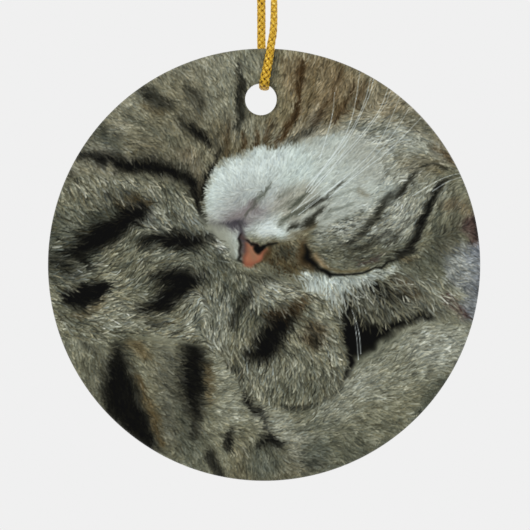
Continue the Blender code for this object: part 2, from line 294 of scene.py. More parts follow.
# Areas: paint, cover, border softness, then outlines, each as x, z, x, z and so on.
# Marks, eye line and nose: the same, with strokes as x, z, half width.
HEAD_AREAS = [
    ("sage", 0.75, 5, [-37, 37, -3, 37, -4, 31, -12, 31, -20, 31, -26, 26, -36, 26]),
    ("slate", 0.5, 4, [-33, 24, -28, 24.5, -24, 22, -25, 18.5, -31, 18.5]),
    ("slate", 0.35, 2.5, [-34, 20, -30, 20, -30, 14, -35, 12]),
    ("sage", 0.7, 2.5, [-33, 17, -28, 16.2, -22, 15.3, -16, 14.2, -18, 10, -28, 10.5]),
    ("tan", 0.7, 2.5, [-14.6, 19.5, -11.4, 19, -10, 15, -10.6, 11, -12.6, 14.5]),
    ("bark", 0.45, 5, [-7, 25, 2, 26, 6, 34, 15, 34, 13, 25, 5, 19.5, -7, 19]),
    ("tan", 0.8, 3.5, [3.5, 35, 5, 28, 10, 30, 11.5, 35]),
    ("sage", 0.5, 3, [14, 35, 17, 33, 18, 27, 15, 26, 13, 29]),
    ("moss", 0.8, 4, [17, 33, 27, 28, 31, 21, 24, 18, 17, 18, 15, 24]),
    ("sage", 0.7, 3, [20, 25, 27, 23, 29, 20, 24, 19, 20, 21]),
    ("pale", 0.75, 3, [15, 17, 22, 18, 26, 17, 23, 12, 19, 8, 14, 8]),
    ("sage", 0.8, 2, [24, 14, 28, 15, 28, 12, 26, 8, 24, 4, 18, 2, 17, 5, 21, 9]),
    ("moss", 0.5, 2.5, [28, 16, 36, 15, 36, 7, 28, 3, 28, 9]),
    ("slate", 0.55, 2, [8.5, 7.2, 13, 6.2, 18, 5.5, 23, 4.5, 24, 1.6, 16, -0.5, 8, 0]),
    ("sage", 0.6, 1.8, [10, 7.5, 14, 8.5, 18, 8.2, 16, 5.6, 12, 5.4]),
    ("moss", 0.5, 1.6, [9, 3.5, 14, 3, 19, 3.3, 22, 1.9, 14, -0.3, 9, 0.8]),
    ("bark", 0.6, 2.4, [0, 4, 3, 5, 6, 4.4, 8, 2, 7, -1, 4, -1.6, 0.5, 0.4]),
    ("coal", 0.7, 2.5, [15, -3.4, 19, -3, 24, -1.4, 29, -3, 30, -6.6, 26, -9, 17, -10, 14, -7]),
    ("slate", 0.6, 2.5, [22, 1, 31, 2, 31, -2, 26, -3, 22, -1]),
    ("moss", 0.5, 3, [26, -1.5, 32, -1.5, 35, -8, 30, -9, 27, -5]),
    ("plum", 0.9, 1.4, [32.6, 6, 34.2, 5.2, 34.6, 3, 37, 2, 37, 8, 34, 8]),
    ("steel", 0.9, 2, [34, 2.4, 37, 3, 37, -9, 33, -9, 32.6, -3]),
    ("pale", 0.4, 5, [-31, 20, -27, 22, -25, 19, -28, 17.4]),
    ("coal", 0.35, 5, [-22, 21, -18, 20.4, -13, 17.6, -16, 16, -22, 18]),
    ("coal", 0.3, 4, [-13.4, 30, -10.6, 29, -10.4, 24, -13.4, 23]),
    ("tan", 0.6, 3, [5, 23, 8, 28, 11, 29, 10, 25, 7, 21.6]),
    ("pale", 0.75, 4, [13, 23, 17, 24, 22, 21.4, 21, 18.6, 15, 17.6]),
    ("mist", 0.45, 3, [15, 17.6, 20, 17, 20, 12, 15, 8.6, 12, 10]),
    ("pale", 0.6, 2, [11, 8, 15, 8.6, 17, 6.6, 15, 5, 11.6, 5.4]),
    ("bark", 0.5, 2.4, [22, 18, 26, 18.4, 30, 18.4, 29, 15, 24, 15]),
    ("coal", 0.45, 3, [28.6, 6, 31.4, 6, 32.6, 3, 31, 0, 28, 2]),
    ("pale", 0.4, 5, [-29, 18, -25, 25, -20, 30, -24, 24, -26, 19], [-6, 26, -2, 24, 3, 23.4, 3,
     21, -4, 22]),
    ("tan", 0.7, 4, [6, 22, 9, 30, 13, 33, 14, 27, 10, 22]),
    ("pale", 0.45, 6, [14, 23, 18, 28, 22, 28, 27, 22, 20, 20]),
    ("mist", 0.4, 4, [11, 14, 15, 17, 19, 16, 18, 12, 13, 7, 10, 9]),
    ("pale", 0.4, 4, [18, 13, 24, 17, 28, 15, 31, 11, 24, 5, 20, 4, 20, 9]),
    ("coal", 0.22, 2.4, [9, 3.4, 12, 4.2, 15, 3, 20, 2, 22, 1.4, 15, 0.2, 10, 1.4]),
    ("pale", 0.65, 2.6, [9, 6, 11, 10, 17, 10.6, 17.6, 8.4, 15.6, 6.2, 12, 5.6]),
    ("pale", 0.6, 2.4, [17, 5, 20, 9, 24, 11.4, 25.6, 8, 24.4, 5, 21, 3.6]),
    ("tan", 0.65, 4, [12, 26, 14, 33, 20, 30, 26, 25, 31, 19.6, 30, 18, 26, 22.6, 19, 25]),
    ("mist", 0.55, 4.4, [8, 21, 12, 24, 17, 24.6, 23, 23, 29, 19.4, 31, 17.4, 26, 18.6, 21, 17.4,
     17, 13, 12, 12]),
    ("pale", 0.55, 3.4, [3, 20.6, 5, 24.6, 9, 27, 12, 26, 12, 24, 8, 21.6]),
    ("pale", 0.55, 2.4, [8.4, 3.4, 9, 7, 14, 8, 20, 7.4, 19.6, 4.6, 14, 3.4]),
    ("slate", 0.4, 3, [-18, 18, -13, 18, -12, 14, -17, 13.6]),
    ("slate", 0.35, 3, [6, 1, 9.6, 1.2, 9.6, -1, 6.4, -1]),
    ("sage", 0.4, 3, [4, 24, 8, 29, 10, 32, 8, 32.6, 5, 28], [-13, 29, -9, 29, -9, 26, -12, 26],
     [-6, 25, -2, 25, -2, 22, -6, 22], [-26, 25, -22, 25, -22, 22, -26, 22], [-30, 18, -26, 18,
     -26, 14, -31, 14]),
    ("pale", 0.4, 3, [18, 11, 20, 14, 24, 14.6, 22.6, 11.6, 20, 9.6]),
    ("pale", 0.35, 4, [15, 25.6, 18, 31, 24, 27.4, 22, 24.6]),
    ("mist", 0.5, 3, [9, 7, 11, 11.6, 16, 15, 17.6, 11.6, 15.4, 7.4, 12, 5.8]),
    ("sage", 0.55, 3, [22, -1, 28, -2, 34, -3, 32, -8.4, 27, -9.4, 23, -8]),
    ("steel", 0.7, 2, [30.6, -3, 31, 2, 34, 4, 37, 2, 37, -4]),
    ("slate", 0.45, 2.4, [1, 3.4, 4, 3.8, 6, 3, 6, 0, 4, -2, 1.6, -2.4, 0.4, -0.4]),
    ("tan", 0.22, 6, [-34, 14, -26, 28, -12, 36, -6, 34, -8, 14]),
    ("fawn", 0.22, 4, [3, 22, 2, 36, 16, 36, 24, 30, 22, 24, 12, 23]),
    ("mist", 0.45, 2.6, [30, 2, 34, 2, 35, -2, 31, -2]),
    ("sage", 0.45, 2.6, [-22, 30, -18, 30, -18, 26, -22, 26]),
    ("slate", 0.25, 2.6, [14, 30, 18, 30, 18, 26, 14, 26]),
    ("sage", 0.4, 2.6, [-10, 34, -6, 34, -6, 26, -10, 26]),
    ("slate", 0.3, 2.6, [-22, 18, -18, 18, -18, 14, -22, 14], [-14, 18, -10, 18, -10, 14, -14,
     14]),
]
HEAD_MARKS = [
    ("coal", 0.9, 2.2, [-20.6, 29.6, 0.9, -18.5, 28, 1.3, -16.4, 27.2, 0.9]),
    ("bark", 0.6, 1.6, [-20.3, 27, 0.6, -18, 25.8, 0.7]),
    ("coal", 0.75, 2.4, [-13.3, 30, 0.6, -11.8, 28.6, 0.9, -10.2, 27, 0.6]),
    ("coal", 0.8, 2.2, [-14.5, 25.2, 0.4, -13.2, 23.8, 0.8, -11.6, 22.3, 0.6]),
    ("soot", 0.9, 1.3, [-12.5, 23.6, 0.5, -11, 22.2, 0.8, -9.3, 20.3, 0.5]),
    ("coal", 0.6, 1.6, [-8.6, 22.6, 0.5, -7.8, 20.6, 0.7, -7.3, 18.8, 0.5]),
    ("slate", 0.6, 2.4, [-29, 23, 1, -27, 21.6, 1, -25, 20, 0.6]),
    ("slate", 0.5, 2, [-24, 25.6, 0.5, -21.5, 24.3, 0.7, -18.8, 22.6, 0.5]),
    ("slate", 0.45, 2, [-17, 22.4, 0.5, -15.3, 21, 0.7, -14.2, 19.8, 0.4]),
    ("soot", 1, 2.4, [-31.5, 18.8, 0.4, -28.5, 18.3, 0.9, -25.5, 17.7, 1.1, -23, 16.8, 1.2, -20,
     17.2, 1.2, -17.5, 16.5, 1.2, -15, 15.8, 1.2, -13.3, 15.2, 1, -12.3, 13.3, 1, -11.5, 10.5, 0.9,
     -10.6, 8, 0.7]),
    ("coal", 0.5, 2, [-33.5, 16.5, 0.7, -32, 15, 0.6, -31, 13.5, 0.4]),
    ("coal", 0.95, 1.2, [-4.4, 34, 0.5, -4.1, 30, 0.7, -4.2, 26.5, 0.8, -4.6, 23.6, 0.5]),
    ("umber", 0.8, 1.1, [-3.6, 22.5, 0.4, -3.2, 20.2, 0.5], [-1, 23, 0.4, -1.2, 20.6, 0.5]),
    ("umber", 0.6, 1.4, [-6, 24, 0.4, -6.3, 21, 0.5, -6.5, 19, 0.4]),
    ("umber", 0.65, 1.2, [1.2, 24.6, 0.3, 1, 22.3, 0.5, 0.8, 21, 0.4]),
    ("soot", 0.85, 1.2, [-8, 18.6, 0.5, -9.2, 16, 0.6, -10.1, 14, 0.6, -10.5, 11.6, 0.5]),
    ("umber", 0.95, 1.1, [2.4, 20.6, 0.4, 3.5, 22.5, 0.6, 4.5, 24, 0.6, 5.5, 26, 0.6, 6, 28, 0.6,
     6.3, 31, 0.6, 6.5, 34.5, 0.6]),
    ("coal", 0.8, 1.8, [4.2, 20.6, 0.4, 6.5, 22, 0.5, 8, 23, 0.6, 9.2, 24.3, 0.5, 10.2, 26, 0.4]),
    ("umber", 0.7, 1.8, [9.2, 24.3, 0.2, 10.2, 26, 0.5, 11.2, 28, 0.5, 12, 30, 0.4, 12.7, 34,
     0.4]),
    ("bark", 0.7, 1.2, [8.6, 33, 0.4, 8.2, 30, 0.5, 7.6, 27, 0.5, 6.6, 24.6, 0.4]),
    ("bark", 0.6, 1.2, [10.6, 24.6, 0.4, 12, 26, 0.5, 13.2, 28, 0.4]),
    ("umber", 0.8, 1.1, [15.3, 30.6, 0.4, 14, 28, 0.5, 13, 26.4, 0.5, 12.2, 24.8, 0.4]),
    ("umber", 0.6, 1.2, [17.2, 31.5, 0.4, 16.3, 29, 0.5, 15.6, 26.8, 0.4]),
    ("coal", 0.6, 1.4, [1, 33, 0.4, 1.6, 30, 0.4, 2.2, 27, 0.3]),
    ("slate", 0.6, 1.8, [14, 23.6, 0.4, 17, 22.4, 0.6, 20, 22.6, 0.5]),
    ("slate", 0.5, 1.8, [22, 24.6, 0.4, 25, 24.4, 0.6, 28, 22, 0.5]),
    ("umber", 0.6, 1.4, [28.3, 19.9, 0.4, 30.4, 18.7, 0.5, 32, 17, 0.3]),
    ("tan", 0.7, 1.6, [30, 9.6, 0.8, 32, 10, 1, 34, 9, 0.8]),
    ("coal", 0.95, 1.2, [30.6, 16.4, 0.2, 28, 16.8, 0.3, 26, 16.4, 0.3, 24.8, 15, 0.3, 24, 13.5,
     0.4, 22.8, 12.3, 0.5, 21.3, 11.2, 0.5, 20, 10, 0.5, 19, 8.7, 0.5, 18, 7.3, 0.45, 17, 6, 0.4,
     15.8, 5, 0.4, 14.4, 4, 0.35, 12.6, 3.5, 0.2]),
    ("soot", 0.9, 1.3, [31, 14.4, 0.15, 29.7, 13.4, 0.35, 28.8, 12, 0.5, 28, 10.6, 0.5, 27.2, 9.2,
     0.55, 26.7, 8, 0.6, 26.2, 6.5, 0.6, 25.6, 5, 0.55, 25, 3.8, 0.5, 24, 2.8, 0.4, 23, 2.1, 0.35,
     21.8, 1.6, 0.2]),
    ("bark", 0.6, 1.2, [25.2, 1.4, 0.4, 24, 1, 0.5, 22.6, 1.2, 0.3]),
    ("coal", 0.6, 1, [22.8, 5.2, 0.3, 21.6, 4, 0.4, 20.4, 3, 0.3]),
    ("coal", 0.7, 1, [20.2, 5.5, 0.3, 18.2, 4.1, 0.4, 16.5, 2.8, 0.4, 14.6, 2, 0.3]),
    ("plum", 0.8, 0.9, [18.6, 1, 0.3, 17, 0.5, 0.4, 15.6, 0.2, 0.3]),
    ("slate", 0.6, 1.6, [29.6, 10, 0.4, 29, 7, 0.6, 28.4, 4, 0.5, 27, 1.6, 0.4]),
    ("coal", 0.5, 1.6, [32, 12, 0.4, 31.8, 8, 0.5, 31.6, 5, 0.4]),
    ("bark", 0.75, 2, [1, 2, 0.5, 3, 0.8, 0.7, 5.2, -0.4, 0.6]),
    ("coal", 0.6, 1.4, [1.2, 0.6, 0.2, 2.6, 2.2, 0.4, 4.4, 2.6, 0.3]),
    ("coal", 0.6, 3, [15.6, -4.2, 0.6, 18, -4.4, 1, 21, -4.2, 0.8]),
    ("mist", 0.75, 3.4, [7, -2.6, 0.6, 9.6, -4, 1.2, 12, -4.8, 1.2]),
    ("milk", 0.9, 1.6, [6.4, -1.5, 0.4, 9, -2.1, 0.7, 12, -2.6, 0.9, 14, -2.6, 0.7, 17, -2.1, 0.45,
     19, -1.5, 0.3, 22, -0.4, 0.2]),
    ("plum", 0.9, 1.4, [30.4, -5, 0.4, 32, -7, 0.6, 33.4, -8.4, 0.6]),
    ("soot", 0.9, 1.4, [35.6, 7, 0.6, 36.4, 5.4, 0.8]),
    ("soot", 0.9, 3, [10.6, -8, 0.6, 13, -9.4, 1, 15.4, -9.8, 1, 18, -10, 0.8]),
    ("soot", 0.85, 3, [17.6, -3.4, 0.6, 20, -4.6, 1.2, 22, -5.2, 1, 24, -4.6, 0.6]),
    ("umber", 0.6, 2.4, [21.6, -2.4, 0.5, 23.6, -3.2, 0.8, 26, -5, 0.6]),
    ("soot", 0.6, 2.4, [24, -8.2, 0.5, 27, -8, 0.8, 30, -7.8, 0.6]),
]
EYE_LINE = [
    ("umber", 0.8, 2, [6.4, 3.8, 0.3, 6.6, 2.2, 0.8, 7, 0.8, 1.1, 8, 0, 0.8]),
    ("sand", 0.7, 1.8, [8.7, 1.5, 0.05, 9.1, 0.8, 0.25, 9.9, 0, 0.28, 10.8, -0.7, 0.1]),
    ("bark", 0.75, 1.2, [10, -0.7, 0.2, 11.6, -1.1, 0.25, 14, -1.2, 0.25, 17, -0.8, 0.15]),
    ("soot", 1, 1.3, [7.1, 3.2, 0.2, 7.2, 2.2, 0.5, 7.4, 1.2, 0.6, 7.9, 0.3, 0.6, 8.7, -0.4, 0.4,
     9.5, -1, 0.28, 11, -1.6, 0.2]),
    ("soot", 1, 0.6, [9.5, -1.1, 0.25, 11, -1.6, 0.2, 13, -1.8, 0.17, 15, -1.72, 0.16, 17, -1.3,
     0.15, 18.8, -0.75, 0.13, 20.4, -0.1, 0.09, 21.8, 0.5, 0.04]),
    ("coal", 0.5, 1, [21, 0.4, 0.1, 23, 1.4, 0.3, 24.4, 2.6, 0.3]),
]
UNDER_EYE = [
    (5.6, -1.6), (9, -2.4), (12.6, -2.6), (14.6, -2.6), (13.6, -4.6), (11, -5.2), (8.4, -4),
    (6.4, -2.8),
]
UNDER_LID = [
    (13, -2.3), (17, -1.9), (21, -0.9), (18, -2.8), (15, -3.4),
]
CHEEK = [
    (12, 1), (12, 6), (16, 11), (22, 15), (30, 15), (31, 10), (28, 5), (24, 0), (18, 0),
]
CHEEK_LINES = [
    ("coal", 0.65, 1.4, [24.9, 14, 0.3, 21.8, 11.4, 0.5, 19.7, 9.6, 0.5, 17.5, 6.8, 0.5, 15.7, 4.6,
     0.3, 14.4, 3.8, 0.1]),
    ("soot", 0.6, 1.4, [30, 14, 0.2, 28.4, 11.4, 0.5, 27, 8.3, 0.6, 25.8, 5.3, 0.6, 24.5, 3.3, 0.5,
     22.3, 0.9, 0.25, 19.7, -0.4, 0.1]),
    ("coal", 0.5, 1.4, [21, 5.3, 0.2, 18.8, 3.5, 0.4, 16.2, 2.6, 0.4, 14, 3.1, 0.2]),
    ("coal", 0.4, 1.6, [22.8, 5.8, 0.3, 22, 4.6, 0.5]),
    ("bark", 0.4, 1.8, [16, 12.4, 0.4, 17.2, 12, 0.5]),
    ("coal", 0.35, 1.4, [19, 1.4, 0.3, 16.4, 0.8, 0.4, 13.6, 1.2, 0.2]),
]
NOSE_SIDE = [
    (1.2, 3.2), (3.4, 3.4), (5.8, 2.6), (6, 0), (4.6, -1.6), (2, -2), (0.6, 0.2),
]
LID = [
    (9.5, 1), (9, 4), (12, 7), (17, 8.6), (21, 6.4), (23, 4), (21, 1.6), (16, -0.4), (11.6, -0.4),
]
LOW_CHEEK = [
    (15, -3), (20, -2), (26, -1.6), (31, -2.6), (32, -6), (29, -9), (24, -9.4), (19, -9),
    (15.6, -7),
]
MUZZLE_OUTLINE = [
    (-8.8, 13.2), (-7.7, 15.4), (-6.2, 16.8), (-4.4, 17.7), (-2.6, 18.3), (-0.6, 18.9),
    (1.6, 19.3), (4.4, 19.6), (7, 20), (9.5, 20.6), (12, 21.6), (14.5, 21.6), (17.5, 19), (18, 15),
    (16, 11.6), (13.4, 9), (10, 7.8), (8, 6.6), (6.5, 4.8), (4.4, 4.5), (3, 4.6), (1.2, 4.2),
    (-1, 4.2), (-3.8, 5.4), (-4.2, 2.6), (-4.4, 1.2), (-6, 2.6), (-7.2, 4.4), (-8.4, 6.4),
    (-9.1, 8.6), (-9.2, 11),
]
MUZZLE_AREAS = [
    ("milk", 1, 2.2, [-8.9, 13.4, -7.7, 15.8, -4.6, 18, -0.6, 19.2, 4.4, 20, 9.5, 21, 13, 21.8, 14,
     18, 11, 13, 8, 9, 4.4, 4.6, -3.8, 5.4, -4.3, 1.2, -7.2, 4.4, -9.1, 8.6, -9.3, 11]),
    ("mist", 0.55, 4, [9, 20, 15, 22, 18.5, 18, 17, 13, 12, 8, 8, 9, 8, 14]),
    ("mist", 0.85, 3, [10, 12.6, 13, 20, 19, 18, 18.6, 12, 14, 8.5, 8, 6, 7, 8]),
    ("milk", 0.45, 4, [1, 10, 3, 14, 8, 15, 11, 17, 16, 16, 13, 11, 9, 11, 5, 10]),
    ("milk", 0.3, 4, [10, 8, 13, 12, 18, 14, 18, 11, 14, 8]),
    ("snow", 0.4, 4, [-8, 12, -6, 16.4, -1, 18.4, 4, 19, 2, 15, -3, 13]),
    ("mist", 0.6, 2.5, [-8.6, 8.4, -6, 8.4, -4.5, 7, -4.8, 2, -7.4, 4.6, -8.8, 6.4]),
    ("mauve", 0.45, 4.5, [-7.4, 7.4, -6, 10, -2.6, 12.6, 1.6, 13.4, 2.4, 11, 0.4, 8, -3, 6.8]),
    ("mauve", 0.85, 2.8, [-5.4, 7.4, -3.8, 9.6, -1.4, 11, -0.4, 10, -2.6, 7.6, -4.2, 6.6]),
    ("mist", 0.5, 3, [0, 11.5, 7, 13, 8.4, 11, 5, 6.5, 1, 8]),
    ("mauve", 0.26, 5, [-8, 8.4, -6, 11, 0, 13, 3, 12, 1, 7.6, -4, 6.4]),
    ("tan", 0.34, 3, [1.5, 10, 5, 13, 8.4, 12.6, 7.4, 9.6, 5, 6.2, 2.4, 7]),
    ("snow", 0.6, 1.8, [-1.6, 6, 0, 7, 1.8, 6.6, 2.6, 5.6, 1.5, 4.7, 0, 4.2, -1.3, 4.8]),
    ("milk", 0.5, 2.4, [-3.4, 10.8, -1, 14, 3.6, 14, 2, 11]),
    ("mist", 0.4, 2.4, [6, 21.4, 10, 21.8, 10, 18.6, 6, 18.4]),
    ("milk", 0.35, 2.4, [18, 13.6, 22, 13.6, 22, 10.6, 18, 10.6]),
]
MUZZLE_MARKS = [
    ("slate", 0.7, 0.9, [-8.4, 6.7, 0.1, -7, 6.8, 0.2, -5, 7.2, 0.25, -4, 7.3, 0.2]),
    ("dusk", 0.8, 1.6, [-8.8, 6.7, 0.2, -7, 6.8, 0.35, -5, 7.2, 0.45, -4, 7.4, 0.4]),
    ("mauve", 0.7, 1.6, [-4.6, 8, 0.4, -3, 9.2, 0.5, -1.6, 10.2, 0.4]),
    ("slate", 0.55, 0.8, [-3, 8.4, 0.1, -1.8, 9.8, 0.14, -0.8, 11, 0.18, 0.3, 12.3, 0.2, 1.3, 13.4,
     0.08]),
    ("slate", 0.3, 1, [2.2, 9, 0.05, 3.4, 10, 0.16, 4.4, 10.6, 0.1], [2.4, 11, 0.05, 3.6, 11.8,
     0.12, 4.6, 12.4, 0.05]),
    ("slate", 0.8, 1.2, [4.1, 9.4, 0.1, 5.4, 10.5, 0.3, 6.4, 11.2, 0.2, 7.4, 12.1, 0.05]),
    ("slate", 0.75, 1.2, [2.6, 6.8, 0.05, 3.8, 7.6, 0.22, 4.6, 8.2, 0.2, 6.3, 9.4, 0.2, 7, 10,
     0.05]),
    ("coal", 0.8, 1.2, [7.2, 9.6, 0.1, 8.3, 10.4, 0.3, 9.5, 11.3, 0.1]),
    ("coal", 0.7, 0.7, [9.7, 11.1, 0.1, 11.6, 12.6, 0.09, 13.4, 14, 0.03]),
    ("coal", 0.9, 1.2, [4.3, 5.9, 0.15, 5, 6.5, 0.35, 5.6, 7, 0.1]),
    ("coal", 0.9, 1.6, [6.7, 6.4, 0.45, 7.4, 7.1, 0.7, 8, 7.8, 0.4]),
    ("coal", 0.75, 1.2, [7.8, 8.2, 0.1, 8.8, 9, 0.35, 9.8, 9.8, 0.1]),
    ("bark", 0.4, 1.8, [4, 4.8, 0.3, 6, 5.2, 0.3, 8, 6.2, 0.3]),
    ("slate", 0.3, 1, [10, 8.2, 0.15, 12.5, 9.4, 0.2, 15, 10.2, 0.1]),
    ("slate", 0.2, 1, [11, 11, 0.1, 13.4, 12.2, 0.15, 16, 13, 0.1]),
    ("slate", 0.3, 1, [12, 6.9, 0.15, 14.4, 8, 0.2, 17, 8.8, 0.1]),
]
LIP_AND_NOSE = [
    ("coal", 0.7, 1.3, [-4.5, 7.2, 0.1, -4.2, 6.4, 0.2, -3.8, 5.2, 0.3, -3.6, 4.4, 0.2]),
    ("dusk", 0.85, 1.3, [-4.7, 7.2, 0.3, -4.2, 6, 0.35, -3.7, 4.9, 0.45, -3.3, 3.9, 0.5, -3.4, 2.8,
     0.35]),
    ("soot", 0.85, 0.6, [-4, 5.2, 0.12, -3.9, 4, 0.22, -4, 2.6, 0.22, -3.95, 1.6, 0.25, -4.3, 0.9,
     0.25, -3.7, 0.2, 0.15]),
    ("coal", 0.7, 0.7, [-5.2, 0.9, 0.1, -4.4, 0.6, 0.2, -3.8, 0.2, 0.15]),
]
NOSE_OUTLINE = [
    (-3, 3.7), (-2.4, 3.7), (-1.6, 3.4), (-0.4, 2.6), (0.6, 2.9), (0.5, 2.2), (0, 1.2),
    (-0.6, 0.3), (-1.6, -0.2), (-2.8, -0.5), (-3.6, -0.2), (-3.6, 1), (-3.3, 2.4),
]
NOSE_MARKS = [
    ("rust", 0.6, 1.2, [-3.4, -0.1, 0.2, -1.8, 0, 0.2, -0.5, 0.9, 0.2, 0.3, 2.1, 0.2]),
    ("rust", 0.5, 1, [-3.1, 3.4, 0.2, -3.2, 1.8, 0.2, -3.5, 0.2, 0.15]),
    ("plum", 0.8, 0.9, [-3.8, 5, 0.2, -3, 4.4, 0.35, -2.2, 3.8, 0.3, -1.7, 3.4, 0.25]),
    ("soot", 0.9, 0.7, [-2.7, 4.3, 0.1, -2, 3.7, 0.2, -1.5, 3.1, 0.3]),
    ("soot", 1, 0.7, [-1.4, 2.7, 0.5, -1, 2.5, 0.62, -0.5, 2.55, 0.6, 0, 3, 0.35]),
    ("soot", 0.85, 0.6, [-0.2, 3.2, 0.2, 0.8, 3.45, 0.25, 1.6, 3.5, 0.2, 2.4, 3.65, 0.1]),
    ("umber", 0.8, 1.2, [0.9, 2.9, 0.3, 0.6, 1.6, 0.35, -0.1, 0.5, 0.25, -1.2, -0.4, 0.1]),
    ("plum", 0.5, 1.6, [-3.2, 3.6, 0.4, -3.5, 2.2, 0.4, -3.7, 0.8, 0.2]),
]
NOSE_LIGHT = [
    ("tan", 0.4, 1.4, [-2.4, 2.8, 0.2, -1.8, 1.6, 0.4, -1.6, 0.8, 0.1]),
    ("pale", 0.4, 0.7, [-3.6, -0.7, 0.1, -2.4, -0.85, 0.12, -1.2, -0.6, 0.1]),
]
HIP_OUTLINE = [
    (-38, -11), (-31, -11.5), (-25, -12), (-18, -11), (-12, -13), (-7, -13), (-3, -16), (4, -21.5),
    (9.5, -22.6), (12.2, -21.2), (14, -18.8), (16, -17), (18, -15.6), (20, -14), (23, -12.1),
    (25, -11), (29, -9.9), (33, -10.5), (36, -11.6), (40, -13), (40, -40), (-40, -40), (-40, -11),
]
HIP_AREAS = [
    ("sage", 0.8, 4, [14, -18, 22, -12, 31, -10, 36, -13, 32, -20, 26, -20, 16, -24]),
    ("slate", 0.35, 6, [8, -28, 24, -28, 20, -38, 0, -38, -2, -32]),
    ("slate", 0.5, 2, [3, -22, 10, -22.5, 12.5, -20.4, 13, -22.6, 9, -25, 4, -25]),
    ("moss", 0.7, 2, [-33, -12, -27, -13, -27, -20, -30, -23, -34, -18]),
    ("slate", 0.4, 2, [-37, -4, -33, -10, -34, -18, -38, -14]),
    ("bark", 0.2, 3, [-19.5, -13, -16, -14, -16.6, -22, -15.5, -30, -18, -30, -19, -22]),
    ("sage", 0.6, 2, [-18.6, -14, -15.6, -14.6, -15.4, -22, -15.6, -29, -17.4, -28, -18, -20],
     [-8.6, -14, -5, -15, -4.4, -20, -4.6, -26, -8, -26, -9, -20]),
    ("moss", 0.6, 3, [-14, -27, -9, -28, -10, -35, -16, -33]),
    ("bark", 0.3, 4, [-4, -30, 6, -28, 10, -34, 0, -37, -6, -36]),
    ("coal", 0.35, 4, [-18, -14, -14.4, -14.4, -13.6, -22, -13, -30, -17, -30, -18.4, -21]),
    ("coal", 0.3, 3, [-29.6, -17, -27.6, -18, -27.6, -22, -30.4, -22]),
    ("sage", 0.6, 4, [1.4, -26, 6, -26, 14, -22.6, 14, -25, 7, -29.6, 2, -29.4]),
    ("slate", 0.5, 3, [17, -13.4, 21, -11.6, 23, -12.6, 18, -16, 15, -17.4]),
    ("pale", 0.35, 3, [12.6, -19, 17, -17.6, 19, -20, 16, -23, 12.6, -22]),
    ("slate", 0.5, 3, [-14, -29, -10, -29, -10, -34, -14, -33], [-2.4, -30, 2, -30, 2, -34.6, -2.4,
     -34.6], [6.4, -30, 10, -30, 10, -34, 6.4, -34]),
    ("sage", 0.5, 3, [10, -22.6, 14, -22.6, 14, -26, 10, -26], [-6, -22, -2, -22, -2, -26, -6,
     -26]),
    ("pale", 0.4, 3, [4, -29, 8, -29, 10, -34, 4, -34]),
    ("sage", 0.5, 3, [-35, -11, -27, -11, -27, -13, -33, -14], [-2, -30, 2, -30, 3, -34, -1, -35]),
    ("pale", 0.6, 4, [23, -13, 28, -10.6, 35, -11.6, 34, -16, 27, -17]),
    ("pale", 0.4, 4, [-1, -23.6, 3, -25, 5, -29.6, 1, -29, -2, -26], [10, -23.4, 14, -22.6, 13,
     -26, 9, -26]),
    ("slate", 0.5, 3, [-2.4, -30, 2, -30, 2, -34.6, -2.4, -34.6]),
    ("slate", 0.6, 3, [6.4, -30, 10, -30, 10, -34, 6.4, -34]),
    ("sage", 0.5, 3, [10, -22.6, 14, -22.6, 14, -26, 10, -26]),
]
